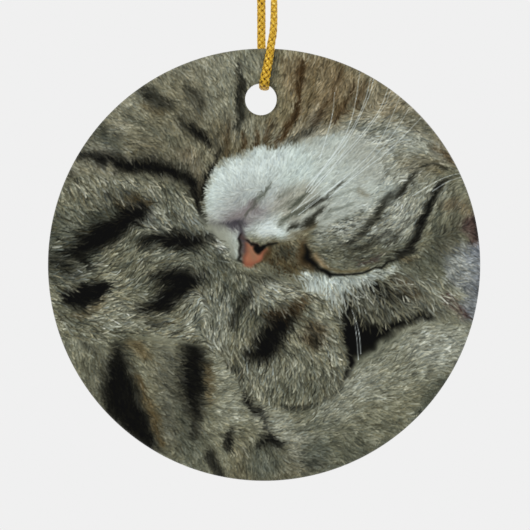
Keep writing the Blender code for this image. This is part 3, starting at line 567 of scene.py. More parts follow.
HIP_MARKS = [
    ("soot", 0.97, 3.3, [-25.2, -13, 0.4, -24.9, -15, 1.2, -25, -17, 1.9, -24.7, -19.4, 2.6, -24.3,
     -22, 3.2, -23.4, -24.2, 3, -21.8, -26.4, 2.6, -20.4, -28.6, 1.8, -19.4, -30.6, 0.8]),
    ("bark", 0.85, 1.4, [-21.8, -18.6, 0.5, -20.6, -21.4, 0.6, -19.3, -24.6, 0.7, -18.3, -27.6,
     0.6, -17.4, -30, 0.4]),
    ("bark", 0.8, 1.6, [-24.4, -12.4, 0.6, -22, -13.6, 0.8, -20.3, -15.2, 0.6]),
    ("soot", 0.97, 3.5, [-12.6, -13.6, 1.4, -12.4, -16, 2.2, -12.2, -19, 2.4, -12.4, -21.8, 1.9,
     -12, -24.5, 1.2, -12.2, -28, 0.6]),
    ("bark", 0.75, 1.5, [-9.8, -17, 0.4, -9.4, -20, 0.6, -9.6, -23, 0.4]),
    ("coal", 0.95, 1.4, [-9.4, -30.6, 0.5, -8.8, -32.6, 0.9, -7.8, -34.6, 0.9, -7.2, -36.4, 0.6]),
    ("soot", 0.9, 1.5, [-6, -28, 0.5, -6.5, -29.6, 0.8, -6.4, -30.8, 0.4]),
    ("soot", 0.85, 1.2, [-4.6, -18.8, 0.4, -3.6, -20.6, 0.5, -3.2, -22.6, 0.6, -2.4, -24.2, 0.6,
     -1, -25, 0.5, 0, -27, 0.3, 1, -28.8, 0.3]),
    ("soot", 0.9, 1.2, [-1.4, -30, 0.4, 0.6, -29.4, 0.7, 2.6, -30, 0.4]),
    ("coal", 0.75, 1.6, [1.4, -23.3, 0.3, 4, -23.7, 0.6, 7, -23.4, 0.7, 10, -22.4, 0.7, 12.3,
     -20.4, 0.6]),
    ("coal", 0.5, 2, [6.5, -33.8, 0.5, 9, -33, 0.6]),
    ("slate", 0.6, 2.2, [-2.5, -33.8, 0.6, -0.6, -33.6, 0.7, 1, -34.6, 0.5]),
    ("slate", 0.8, 2, [30.4, -19.2, 0.6, 29, -20.4, 0.9, 27.8, -21.8, 1, 27, -23.2, 1, 26, -24.6,
     0.9, 24.6, -26, 0.6]),
    ("slate", 0.4, 2.2, [13, -31, 0.8, 15, -32.6, 1.2, 18, -32, 0.8], [4, -27.6, 0.5, 8, -27.6,
     0.8, 12, -26.6, 0.5]),
    ("coal", 0.5, 1.6, [-30.6, -13, 0.6, -29, -14, 0.7, -28, -15.6, 0.5]),
    ("slate", 0.6, 2, [-14.6, -24, 0.4, -13.8, -28, 0.6, -13, -31.6, 0.4]),
]
ARM_OUTLINE = [
    (-40, 13.5), (-34, 13.4), (-30, 15.4), (-25, 14.8), (-20, 14.6), (-15, 13.6), (-13, 11.6),
    (-11.4, 8.4), (-9.8, 5.6), (-8, 4), (-6.4, 2), (-5, 0), (-3, -1.4), (0, -2.1), (3, -3),
    (6, -4), (8.6, -5), (10.6, -6.6), (12.2, -9), (13, -12), (13.4, -15), (13, -18), (11.8, -20.2),
    (10, -21.8), (8, -22.6), (5, -23), (1, -22.8), (-1.4, -22), (-3.4, -20.4), (-5, -18),
    (-7, -15.4), (-11, -13.6), (-16, -12.2), (-20, -11.8), (-25, -12.4), (-30, -12.4), (-34, -12),
    (-40, -13),
]
ARM_AREAS = [
    ("moss", 1, 1.5, ARM_OUTLINE),
    ("sage", 0.45, 2.5, [-33, 13, -27, 14.5, -19, 14, -13, 11, -12, 8, -19, 10.5, -28, 11]),
    ("slate", 0.75, 2.8, [-38, 5, -34, 7, -29, 5, -28, 1.6, -31, -3, -37, -3]),
    ("slate", 0.45, 3.3, [-24, 8, -12, 8, -9, 5, -12, 1, -24, 2]),
    ("sage", 0.5, 2.5, [-20, 3, -12, 3, -8, 0, -10, -2, -19, 0]),
    ("moss", 0.9, 2.5, [-30, -8.6, -20, -9.6, -15, -10, -16, -12, -28, -12]),
    ("sage", 0.45, 2, [-27, -8, -22, -8.6, -22, -10.6, -28, -10.4]),
    ("slate", 0.35, 3.3, [-9, -4, -3, -4, -4, -10, -8, -13, -12, -12, -11, -7]),
    ("sage", 0.7, 2.5, [-2, -3, 3, -4, 5, -5, 1, -6.6, -2, -7]),
    ("sage", 0.5, 2, [7, -6, 11, -8, 12.4, -12, 12, -16, 8.6, -13, 6.6, -10]),
    ("sage", 0.5, 2.5, [-1, -15.8, 4, -15, 8, -15.6, 7, -18, 3, -18, -1, -17.6]),
    ("slate", 0.4, 2.2, [-4, -16, -2, -15.6, -3, -20, -5, -18]),
    ("coal", 0.3, 5.5, [-29, 14, -24, 13.6, -19, 12, -22, 10.6, -28, 11]),
    ("pale", 0.5, 3, [-23, 10, -18, 9.6, -17, 7, -21, 6.4]),
    ("pale", 0.6, 2.6, [-10.4, 6, -7.4, 6.4, -5, 2, -8, 1.6]),
    ("slate", 0.4, 3, [-6, -6, -2, -6, 1, -8.4, 0, -10, -6, -10]),
    ("slate", 0.6, 2.4, [-1, -6.6, 5, -6.4, 7, -8.4, 3, -9.6, -1, -9.4]),
    ("slate", 0.4, 3, [-18, 13, -14, 13, -14, 8, -18, 8]),
    ("sage", 0.5, 3, [-30, -6, -24, -6, -23, -9.6, -30, -9.6], [-34, -3, -30, -2, -27, -3, -27, -1,
     -33, -0.6]),
    ("sage", 0.4, 3, [-14, 7, -10, 7, -10, 5.6, -14, 5.6], [9, -18, 13, -17, 13, -21, 10, -22]),
    ("pale", 0.35, 3, [-11, -4, -6, -4.6, -6, -11, -13, -10, -14, -7], [-2, -3, 3, -2.6, 6, -3.6,
     4, -6, -1, -6]),
    ("sage", 0.5, 3, [-19, -10, -13, -10, -13, -13, -18, -13.6]),
    ("slate", 0.5, 4.4, [-36, 10, -31, 10, -28, 7, -31, 5.6, -36, 6]),
    ("coal", 0.4, 4.4, [-38, 2, -33, 2, -30, 0, -32, -2, -38, -1]),
    ("sage", 0.3, 3, [-20, 11, -14, 11, -10, 6.6, -13, 6.6, -19, 7.6]),
    ("slate", 0.4, 3, [-19, 3, -15, 3, -13, -1, -18, -1]),
    ("sage", 0.6, 3, [-11, 6, -6.6, 6, -5.6, 2, -9, 2]),
    ("sage", 0.5, 3, [-12, -5, -7, -6, -7, -13, -14, -12, -16, -11, -12, -9]),
    ("slate", 0.5, 3.3, [-22, -3, -19, -3, -19, -6, -22, -6]),
    ("slate", 0.45, 3.3, [-27, -11, -22, -11, -21, -12.6, -27, -13]),
    ("coal", 0.4, 2.8, [-3, -1.6, 0, -1.4, 3, -2.2, 1, -3.4, -2, -3]),
    ("slate", 0.6, 4.4, [-14, 3, -8, 3, -5, 0, -7, -3, -11, -1]),
    ("slate", 0.6, 2.6, [-6.4, -2.6, -2.6, -3.2, -2.6, -6, -3.4, -8, -6, -6]),
    ("umber", 0.6, 2.4, [6.4, -10, 9.4, -9.6, 10, -12, 8.6, -13.6, 6.6, -12.6]),
    ("slate", 0.4, 3.3, [2, -18.8, 8.6, -18.4, 10, -20.6, 5, -22.4, 1, -21.6]),
    ("sage", 0.5, 3, [-3, -16.4, 1, -17, 1.6, -21, -1.6, -22, -3.6, -19]),
    ("sage", 0.6, 3, [-10, -6, -6.6, -6, -6, -12, -8, -14.6, -11, -11]),
    ("pale", 0.4, 2.4, [-10, 6, -6.6, 6, -6, 2.4, -9, 2.4]),
    ("sage", 0.6, 2.4, [-1.6, -2.8, 3, -3, 4, -5.6, -0.6, -5.6]),
    ("slate", 0.45, 2.6, [-34, -6.4, -30, -7, -30, -10, -34, -10]),
    ("pale", 0.35, 2.6, [-14, 9.6, -10, 8.4, -9.6, 6.8, -14, 7]),
]
ARM_MARKS = [
    ("coal", 0.7, 4.4, [-20, 11, 0.6, -23, 10.6, 1.6, -26, 8.4, 2.2, -29, 6, 2.2, -32, 3, 1.6]),
    ("soot", 1, 2.6, [-19.6, 10, 0.3, -21, 9.4, 1.2, -23, 8.2, 1.9, -25.4, 6.4, 2.3, -27.6, 4.8,
     2.2, -30, 3.5, 1.7, -32, 2.6, 1, -34, 2, 0.5]),
    ("slate", 0.7, 1.6, [-25.6, 9.6, 0.5, -28, 8.6, 0.8, -30.6, 7, 0.7]),
    ("bark", 0.7, 1.4, [-19.4, 10.8, 0.3, -22, 11.6, 0.4, -25, 10.6, 0.4]),
    ("soot", 0.9, 1.3, [-31.8, 1.6, 0.5, -30.8, 0.6, 0.7, -29.8, -0.6, 0.4]),
    ("soot", 1, 1.6, [-34, -5.4, 0.8, -31.6, -5.2, 1.9, -29.4, -4.8, 1.6, -27, -4.4, 0.7]),
    ("bark", 0.7, 1.5, [-32.6, -8.4, 0.5, -30, -7.6, 0.5, -27.4, -6.2, 0.4]),
    ("coal", 0.6, 2.4, [-36, 1, 0.8, -34, -0.6, 1, -32, -2, 0.6]),
    ("soot", 1, 2.8, [-21, 3.2, 0.4, -18, 4.4, 1.4, -15, 4.2, 1.9, -12, 4.4, 1.2, -10.4, 4.7, 0.5,
     -9.4, 4.8, 0.15], [-19.4, -2.2, 0.4, -17, -2.6, 1.4, -14.6, -2.8, 1.7, -12.4, -2.4, 1.3,
     -10.4, -1.2, 0.5], [-21.8, -7.4, 0.5, -19.6, -7.4, 1.1, -17.6, -6.4, 1.7, -15.4, -4.8, 1.7,
     -14, -3.4, 1.2]),
    ("coal", 0.7, 1.4, [-20, -9.6, 0.3, -18.4, -10.3, 0.5, -17, -10.2, 0.3]),
    ("slate", 0.6, 1.5, [-24.6, 0, 0.4, -23, -1.4, 0.6, -21.4, -3.4, 0.4]),
    ("slate", 0.55, 1.5, [-13, -8, 0.4, -11.4, -9.6, 0.6, -10.4, -12, 0.4]),
    ("coal", 0.85, 1.3, [-2.4, -3.2, 0.4, -3, -5, 0.7, -4, -6.5, 0.8, -4.8, -8, 0.7, -5, -10,
     0.4]),
    ("umber", 0.85, 2.4, [6.6, -5.4, 0.4, 5.4, -6.8, 0.9, 3.6, -8, 1.1, 1.6, -8.6, 1, 0.4, -8,
     0.5]),
    ("soot", 1, 2.8, [3.8, -8.8, 0.9, 2.2, -10, 1.7, 0.8, -11.4, 2.1, 0.4, -13, 2.3, -0.6, -14.6,
     1.5, -2.8, -14.6, 0.7]),
    ("coal", 0.85, 1.3, [-6.2, -16.2, 0.5, -5, -17, 0.8, -3.8, -17.6, 0.5]),
    ("coal", 0.8, 1.5, [7.4, -10.6, 0.3, 8.4, -11.6, 0.6, 8.8, -12.8, 0.3]),
    ("slate", 0.5, 1.6, [4, -14, 0.4, 6, -15, 0.6, 8, -17, 0.4]),
    ("slate", 0.5, 1.4, [-7.6, -4, 0.4, -8, -7, 0.6, -8.4, -10.4, 0.4]),
    ("coal", 0.35, 1.2, [-9, 3.4, 0.2, -7.6, 1.6, 0.4, -6.2, -0.4, 0.4, -4.4, -1.8, 0.3]),
]
GAP_MARKS = [
    ("soot", 0.9, 1.8, [13.4, -5, 0.2, 13.8, -7, 0.6, 14.4, -9.4, 1, 14.6, -12, 1.2]),
    ("soot", 1, 1.6, [12.4, -9.6, 0.3, 13.6, -11.6, 0.8, 14.8, -13.6, 1.2, 14.4, -16.4, 0.8, 13.2,
     -18.8, 0.6, 11.6, -20.8, 0.5]),
    ("soot", 1, 1.8, [14.4, -12, 1.2, 16.8, -12.2, 1.9, 19.4, -11.4, 1.3, 22.4, -10.4, 0.7, 25,
     -9.2, 0.4, 28, -8.8, 0.25]),
    ("soot", 0.9, 1.4, [16, -14.4, 1.1, 17.8, -13.4, 1.1]),
    ("sage", 0.7, 0.8, [15.4, -17.4, 0.15, 18, -15.6, 0.2, 21.3, -12.9, 0.2, 24.7, -11, 0.2, 28,
     -10, 0.2, 32, -10.4, 0.1]),
]
GAP_EDGE = [
    (13.4, -5), (18, -4.4), (24, -6), (27.6, -8), (23.6, -9.4), (19, -10.2), (16, -9.6), (14, -8),
]
CHIN_EDGE = [
    (8.4, -3.6), (12, -4.4), (16, -3.6), (16.4, -5.4), (13.6, -7), (12, -8.6), (10, -6),
]

# Each whisker from its tip to its root
WHISKERS = [
    [(16.1, 32.4), (15.5, 28), (14.6, 24.2), (12.8, 20.3), (7.1, 12.2)],
    [(18, 31.8), (17.1, 28), (15.3, 23.8), (12.5, 19.5), (7.1, 13)],
    [(18.5, 31.5), (17.5, 28), (14.4, 21.5), (12.1, 18.4), (9, 15)],
    [(20.9, 29.8), (19.4, 26), (16.3, 21.8), (12.1, 17.2), (7.5, 12.2)],
    [(21.4, 29.5), (19.8, 26), (15.5, 20.3), (10.5, 15), (8, 12)],
    [(22.9, 28.3), (21.3, 24.5), (19, 20), (15.2, 16), (10.5, 12.2)],
    [(26.5, 24.8), (23.6, 21.8), (20.5, 18.8), (15.9, 15.3), (11, 11.4)],
    [(11.9, 29), (11.5, 25.3), (10.6, 21.8), (9.4, 18)],
    [(24.6, 26.6), (22, 22.4), (18, 17.6), (12, 12.4)],
    [(34, 15.6), (31.3, 15), (28.6, 13.8), (25, 11.6)],
    [(34, 15), (31, 14), (28.4, 12.4)],
    [(14.4, 20.4), (11, 15.6), (5.6, 9.6)],
    [(12.6, 15.6), (9, 12), (4.6, 8.8)],
    [(13.6, 14.6), (10, 11.6), (5.8, 8.4)],
    [(16, 17.6), (12, 13.4), (7, 9.6)],
    [(14.8, -7.6), (15.9, -11), (16.3, -15)],
    [(15.2, -9), (15.6, -12.4), (15.9, -16)],
]

# Small areas combed on their own: border softness and outline, then hair length, hairs to a
# square millimetre, passes, contrast and paint
HEAD_TUFTS = [
    (1.2, NOSE_SIDE, 0.5, 1.2, 3, 0.2, "umber"),
    (1.6, LID, 0.9, 1.0, 3, 0.22, "sage"),
    (1.5, LOW_CHEEK, 1.9, 1.1, 4, 0.26, "sage"),
    (2.6, UNDER_EYE, 1.8, 1.8, 4, 0.07, "milk"),
    (1.2, UNDER_LID, 1.2, 1.8, 3, 0.07, "mist"),
]
CHEEK_TUFTS = [(1.6, CHEEK, 0.8, 1.6, 2, 0.14)]
GAP_TUFTS = [
    (1.6, GAP_EDGE, 1.8, 0.4, 4, 0.24, "moss"),
    (1.6, CHIN_EDGE, 2.2, 0.8, 3, 0.14, "mist"),
]


# ---------------------------------------------------------------- the painter

def smooth_points(points, per_span=5, closed=False):
    """Points on a Catmull-Rom curve through rows of numbers, the ends run on or joined."""
    p = np.asarray(points, float)
    ends = (p[-1:], p[:2]) if closed else (2 * p[:1] - p[1:2], 2 * p[-1:] - p[-2:-1])
    p = np.vstack([ends[0], p, ends[1]])
    t = (np.arange(per_span) / per_span)[:, None]
    rows = []
    for a, b, c, d in zip(p, p[1:], p[2:], p[3:]):
        bend = (2 * a - 5 * b + 4 * c - d) * t ** 2 + (3 * b - a - 3 * c + d) * t ** 3
        rows.append(0.5 * (2 * b + (c - a) * t + bend))
    rows.append(p[-2:-1])
    return np.vstack(rows)


def line_distance(x, z, line):
    """The distance from each place to a line, less the line's own half width there."""
    best = np.full(x.shape, np.inf)
    for a, b in zip(line, line[1:]):
        along = b[:2] - a[:2]
        share = ((x - a[0]) * along[0] + (z - a[1]) * along[1]) / max(along @ along, 1e-9)
        share = np.clip(share, 0, 1)
        gap = np.hypot(x - a[0] - share * along[0], z - a[1] - share * along[1])
        if len(a) > 2:
            gap = gap - a[2] - share * (b[2] - a[2])
        best = np.minimum(best, gap)
    return best


def soft_edge(distance, softness):
    """1 well inside, 0 well outside, smooth across a border softness wide."""
    return smooth_step(0.5 - distance / softness)


def smooth_step(t):
    """0 below 0, 1 above 1, smooth between."""
    t = np.clip(t, 0, 1)
    return t * t * (3 - 2 * t)


def look_up(field, x, z, step):
    """A field's values at places in millimetres, with the field's own step."""
    col = np.clip((x + PAINT_HALF) / step, 0, field.shape[1] - 1.001)
    row = np.clip((z + PAINT_HALF) / step, 0, field.shape[0] - 1.001)
    c, r = col.astype(int), row.astype(int)
    u, v = col - c, row - r
    low = field[r, c] * (1 - u) + field[r, c + 1] * u
    high = field[r + 1, c] * (1 - u) + field[r + 1, c + 1] * u
    return low * (1 - v) + high * v


def noise_field(rng, spacing):
    """Random values, one every spacing millimetres, for look_up to smooth."""
    count = int(2 * PAINT_HALF / spacing) + 3
    return rng.normal(0, 1, (count, count))


def paint(colour):
    return np.array(COLOURS[colour]) / 255


class Picture:
    """The painting, in display values from 0 to 1."""

    def __init__(self, rng):
        axis = np.linspace(-PAINT_HALF, PAINT_HALF, PAINT_COUNT)
        self.x, self.z = np.meshgrid(axis, axis)
        rough = [look_up(noise_field(rng, EDGE_GRAIN), self.x, self.z, EDGE_GRAIN)
                 for _ in range(2)]
        self.rough_x = self.x + EDGE_ROUGHNESS * rough[0]
        self.rough_z = self.z + EDGE_ROUGHNESS * rough[1]
        self.rgb = np.empty((PAINT_COUNT, PAINT_COUNT, 3))
        self.rgb[:] = paint("moss")

    def window(self, points, reach):
        """The rows and columns that come within reach of the points."""
        low = np.floor((points[:, :2].min(0) - reach + PAINT_HALF) / PAINT_STEP).astype(int)
        high = np.ceil((points[:, :2].max(0) + reach + PAINT_HALF) / PAINT_STEP).astype(int)
        low = np.clip(low, 0, PAINT_COUNT - 1)
        high = np.clip(high, 1, PAINT_COUNT)
        return slice(low[1], high[1]), slice(low[0], high[0])

    def lay(self, place, cover, colour):
        part = self.rgb[place]
        part += (paint(colour) - part) * cover[..., None]

    def area_cover(self, softness, outline):
        """How far each place is inside an outline with a soft border."""
        line = smooth_points(np.reshape(outline, (-1, 2)), 4, closed=True)
        place = self.window(line, softness + 1)
        x, z = self.rough_x[place], self.rough_z[place]
        inside = np.zeros(x.shape, bool)
        for a, b in zip(line, line[1:]):
            if a[1] != b[1]:
                crossing = a[0] + (z - a[1]) * (b[0] - a[0]) / (b[1] - a[1])
                inside ^= ((a[1] > z) != (b[1] > z)) & (x < crossing)
        gap = line_distance(x, z, line)
        return place, soft_edge(np.where(inside, -gap, gap), softness)

    def areas(self, rows):
        for colour, cover, softness, *outlines in rows:
            for outline in outlines:
                place, inside = self.area_cover(softness, outline)
                self.lay(place, cover * inside, colour)

    def marks(self, rows, even=False):
        x, z = (self.x, self.z) if even else (self.rough_x, self.rough_z)
        for colour, cover, softness, *strokes in rows:
            for stroke in strokes:
                line = smooth_points(np.reshape(stroke, (-1, 3)))
                place = self.window(line, line[:, 2].max() + softness + 1)
                gap = line_distance(x[place], z[place], line)
                self.lay(place, cover * soft_edge(gap, softness), colour)

    def cover_all(self):
        return np.ones(self.x.shape)

    def cover_of(self, softness, outline):
        cover = np.zeros(self.x.shape)
        place, inside = self.area_cover(softness, outline)
        cover[place] = inside
        return cover


def flow_field(samples):
    """The fur's direction over a coarse grid, averaged from the nearest samples."""
    axis = np.arange(FLOW_COUNT) * FLOW_STEP - PAINT_HALF
    x, z = np.meshgrid(axis, axis)
    across, up = np.zeros(x.shape), np.zeros(x.shape)
    for sx, sz, degrees in samples:
        away = ((x - sx) ** 2 + (z - sz) ** 2) / FLOW_SPREAD ** 2
        weight = 1 / (away + FLOW_SOFTNESS) ** FLOW_FALL
        across += weight * math.cos(math.radians(degrees))
        up += weight * math.sin(math.radians(degrees))
    size = np.hypot(across, up) + 1e-9
    return across / size, up / size


def comb(picture, cover, flow, rng, length=1.0, per_mm2=3.6, passes=12, contrast=0.18, tint=None):
    """Combs hairs over an area. Each takes the paint's colour at its root, a little lighter or
    darker than its neighbours, and follows the lie of the fur to its tip."""
    base = picture.rgb.copy()
    rows, cols = np.nonzero(cover > LEAST_COVER)
    tufts = noise_field(rng, TUFT_SIZE)
    parting = noise_field(rng, PARTING_SIZE)
    steps = int(length * HAIR_LENGTHS[1] / (DAB_SPACING * PAINT_STEP))
    for turn in range(passes):
        chosen = rng.integers(0, len(rows), int(per_mm2 * len(rows) * PAINT_STEP ** 2))
        chosen = chosen[rng.random(len(chosen)) < cover[rows[chosen], cols[chosen]]]
        count = len(chosen)
        x = (cols[chosen] + rng.random(count) - 0.5) * PAINT_STEP - PAINT_HALF
        z = (rows[chosen] + rng.random(count) - 0.5) * PAINT_STEP - PAINT_HALF
        root = base[rows[chosen], cols[chosen]]
        if tint:
            root = (1 - TINT_SHARE) * root + TINT_SHARE * paint(tint)
        tone = rng.normal(0, 1, count).clip(*TONES) + TUFT_TONE * look_up(tufts, x, z, TUFT_SIZE)
        under = UNDER_SHADE * (1 - turn / (passes - 1)) ** 2
        tone = np.exp(contrast * tone - contrast * under)
        warm = rng.normal(0, WARMTH * contrast, count)
        own = hair_colour(root, tone, warm)
        lean = rng.normal(0, HAIR_SWAY, count)
        lean += PARTING_SWAY * look_up(parting, x, z, PARTING_SIZE)
        curl = rng.normal(0, HAIR_CURL, count)
        stride = length * rng.uniform(*HAIR_LENGTHS, count) / steps
        dabs = []
        for share in np.arange(steps) / (steps - 1):
            heading = np.arctan2(*(look_up(flow[k], x, z, FLOW_STEP) for k in (1, 0)))
            heading = heading + lean + curl * share
            weight = min(1.0, ROOT_WEIGHT + ROOT_RISE * share, TIP_FALL * (1 - share) + TIP_WEIGHT)
            glow = 1 + contrast * (TIP_GLOW * share - ROOT_DIM)
            dabs.append((x.copy(), z.copy(), np.full(count, weight), own * glow))
            x += np.cos(heading) * stride
            z += np.sin(heading) * stride
        blend_dabs(picture, dabs)


def hair_colour(root, tone, warm):
    """Each hair's own colour from its root's, its tone and its warmth. Light hairs are greyer."""
    own = root * tone[:, None] * (1 + warm[:, None] * np.array(WARM_TINT))
    grey = own.mean(axis=1, keepdims=True) * GREY_LIGHT
    return own + np.clip(GREYING * (tone - 1), 0, MOST_GREYED)[:, None] * (grey - own)


def comb_each(picture, flow, rng, rows):
    """Combs several small areas, given as border softness, outline and what comb takes."""
    for softness, outline, *hair in rows:
        comb(picture, picture.cover_of(softness, outline), flow, rng, *hair)


def blend_dabs(picture, dabs):
    """Lays dabs of colour on the picture, each shared between its four nearest points."""
    x, z, weight = (np.concatenate([d[k] for d in dabs]) for k in range(3))
    colour = np.concatenate([d[3] for d in dabs])
    col, row = (x + PAINT_HALF) / PAINT_STEP, (z + PAINT_HALF) / PAINT_STEP
    ok = (col > 0) & (row > 0) & (col < PAINT_COUNT - 2) & (row < PAINT_COUNT - 2)
    col, row, weight, colour = col[ok], row[ok], weight[ok], colour[ok]
    c, r = col.astype(int), row.astype(int)
    u, v = col - c, row - r
    size = PAINT_COUNT ** 2
    total = np.zeros((4, size))
    for dc, dr in ((0, 0), (1, 0), (0, 1), (1, 1)):
        index = (r + dr) * PAINT_COUNT + c + dc
        dab = (u if dc else 1 - u) * (v if dr else 1 - v) * weight
        total[3] += np.bincount(index, dab, size)
        for k in range(3):
            total[k] += np.bincount(index, dab * colour[:, k], size)
    tint = (total[:3] / np.maximum(total[3], 1e-6)).T.reshape(picture.rgb.shape)
    seen = (1 - np.exp(-DAB_STRENGTH * total[3])).reshape(PAINT_COUNT, PAINT_COUNT, 1)
    picture.rgb += (tint - picture.rgb) * seen


def crisp(rgb):
    """Brings out each hair against its neighbours."""
    reach = np.arange(-CRISP_HALF, CRISP_HALF + 1)
    weight = np.exp(-reach ** 2 / (2 * CRISP_REACH ** 2))
    soft = rgb
    for axis in (0, 1):
        soft = sum(w * np.roll(soft, k, axis) for k, w in zip(reach, weight / weight.sum()))
    return rgb + CRISPNESS * (rgb - soft)


def paint_whiskers(picture, rng):
    for points in WHISKERS:
        line = smooth_points(points)
        taper = np.linspace(WHISKER_TAPER, 1.0, len(line))
        line = np.column_stack([line, WHISKER_HALF * taper])
        place = picture.window(line, 0.5)
        gap = line_distance(picture.x[place], picture.z[place], line)
        picture.lay(place, rng.uniform(*WHISKER_COVER) * soft_edge(gap, WHISKER_EDGE), "snow")


def paint_head(picture, flow, rng):
    picture.areas(HEAD_AREAS)
    picture.marks(HEAD_MARKS)
    comb(picture, picture.cover_all(), flow, rng)
    comb(picture, picture.cover_all(), flow, rng, length=1.5, per_mm2=0.5, passes=3, contrast=0.16)
    picture.areas(MUZZLE_AREAS)
    picture.marks(MUZZLE_MARKS)
    muzzle = flow_field(MUZZLE_FLOW)
    cover = picture.cover_of(1.8, MUZZLE_OUTLINE)
    comb(picture, cover, muzzle, rng, contrast=0.06)
    picture.marks(MUZZLE_MARKS)
    comb(picture, cover, muzzle, rng, length=0.8, per_mm2=2.0, passes=3, contrast=0.05)
    comb_each(picture, flow, rng, HEAD_TUFTS)
    picture.marks(CHEEK_LINES)
    comb_each(picture, flow, rng, CHEEK_TUFTS)
    picture.marks(EYE_LINE)
    picture.marks(LIP_AND_NOSE)
    picture.areas([("clay", 1, 0.8, NOSE_OUTLINE)])
    picture.marks(NOSE_MARKS)
    picture.marks(NOSE_LIGHT, even=True)


def paint_cat():
    """The whole picture: head and muzzle, hip and tail, arm and paw, each over the last."""
    rng = np.random.default_rng(7)
    picture = Picture(rng)
    head = flow_field(HEAD_FLOW)
    paint_head(picture, head, rng)
    hip = flow_field(HIP_FLOW)
    cover = picture.cover_of(1.2, HIP_OUTLINE)
    picture.lay(..., cover, "moss")
    picture.areas(HIP_AREAS)
    picture.marks(HIP_MARKS)
    comb(picture, cover, hip, rng)
    comb(picture, cover, hip, rng, length=1.4, per_mm2=0.6, passes=3, contrast=0.11)
    picture.marks(GAP_MARKS)
    comb_each(picture, head, rng, GAP_TUFTS)
    arm = flow_field(ARM_FLOW)
    picture.areas(ARM_AREAS)
    picture.marks(ARM_MARKS)
    cover = picture.cover_of(0.8, ARM_OUTLINE)
    comb(picture, cover, arm, rng, length=1.1, contrast=0.25)
    comb(picture, cover, arm, rng, length=1.8, per_mm2=0.6, passes=4, contrast=0.26)
    paint_whiskers(picture, rng)
    return np.clip(crisp(picture.rgb), 0, 1)


# ---------------------------------------------------------------- meshes from arrays

def to_linear(colour):
    """Display values turned to the linear values that shaders use."""
    colour = np.asarray(colour, float)
    return np.where(colour <= 0.04045, colour / 12.92, ((colour + 0.055) / 1.055) ** 2.4)


def circle(count):
    """Angles evenly round a circle."""
    return np.linspace(0, 2 * math.pi, count, endpoint=False)


def mesh_object(name, vertices, faces, smooth=True):
    """A mesh from an array of places and a list of arrays of faces, each with its own corners."""
    mesh = bpy.data.meshes.new(name)
    corners = np.concatenate([f.ravel() for f in faces]).astype(np.int32)
    sizes = np.concatenate([np.full(len(f), f.shape[1]) for f in faces])
    starts = np.concatenate([[0], np.cumsum(sizes)[:-1]]).astype(np.int32)
    mesh.vertices.add(len(vertices))
    mesh.vertices.foreach_set("co", np.ascontiguousarray(vertices, np.float32).ravel())
    mesh.loops.add(len(corners))
    mesh.loops.foreach_set("vertex_index", corners)
    mesh.polygons.add(len(starts))
    mesh.polygons.foreach_set("loop_start", starts)
    mesh.polygons.foreach_set("use_smooth", np.full(len(starts), smooth))
    mesh.update(calc_edges=True)
    mesh.validate()
    made = bpy.data.objects.new(name, mesh)
    bpy.context.scene.collection.objects.link(made)
    return made


def store_colour(obj, name, linear):
    """Keeps a colour for each vertex under a name that the material reads."""
    layer = obj.data.color_attributes.new(name=name, type="FLOAT_COLOR", domain="POINT")
    rgba = np.ones((len(linear), 4), np.float32)
    rgba[:, :3] = linear
    layer.data.foreach_set("color", rgba.ravel())


def ring(centre, radius, y, angles):
    """A ring of places at height y, round a centre in the disc's plane."""
    x = centre[0] + radius * np.cos(angles)
    z = centre[1] + radius * np.sin(angles)
    return np.column_stack([x, np.full(len(angles), y), z])


def ring_faces(before, now, outward):
    """Quads between two rings of vertices, given as the vertices' numbers."""
    quads = np.column_stack([np.roll(before, -1), before, now, np.roll(now, -1)])
    return quads if outward else quads[:, ::-1]


def flat_faces(outer, hole, outer_start, hole_start, flip=False):
    """Triangles that fill the flat between an outer ring and the hole's ring."""
    both = np.vstack([outer, hole])
    places = [Vector((p[0] / MM, p[2] / MM)) for p in both]
    found = delaunay_2d_cdt(places, [], [], 0, 1e-5)
    middle = (HOLE_X / MM, HOLE_Z / MM)
    inner = math.hypot(hole[0][0] / MM - middle[0], hole[0][2] / MM - middle[1])
    triangles = []
    for face in found[2]:
        corners = [found[3][i][0] for i in face]
        x = sum(places[c].x for c in corners) / 3 - middle[0]
        z = sum(places[c].y for c in corners) / 3 - middle[1]
        if math.hypot(x, z) > inner:
            triangles.append(corners)
    triangles = np.array(triangles)
    a, b, c = (both[triangles[:, k]] for k in range(3))
    facing = np.cross(b - a, c - a)[:, 1] > 0
    triangles[facing != flip] = triangles[facing != flip][:, ::-1]
    low = triangles < len(outer)
    return np.where(low, triangles + outer_start, triangles - len(outer) + hole_start)


def rounded(radius, rounding, angles, y, outward, inwards=0.0, back=False):
    """Ring sizes (radius, y) over a rounded edge that leaves the flat at y, drawn in a little."""
    side = 1 if outward else -1
    base = radius - side * rounding
    reach = rounding - inwards
    turn = -1 if back else 1
    return [(base + side * reach * math.sin(a), y + turn * (rounding - reach * math.cos(a)))
            for a in angles]


def edge_rings(radius, rounding, front, outward):
    """Ring sizes from the front flat over the edge to the back flat."""
    angles = np.radians(np.linspace(0, 90, ROUNDING_STEPS))
    return (rounded(radius, rounding, angles, front, outward)
            + rounded(radius, rounding, angles[::-1], BACK_Y, outward, back=True))


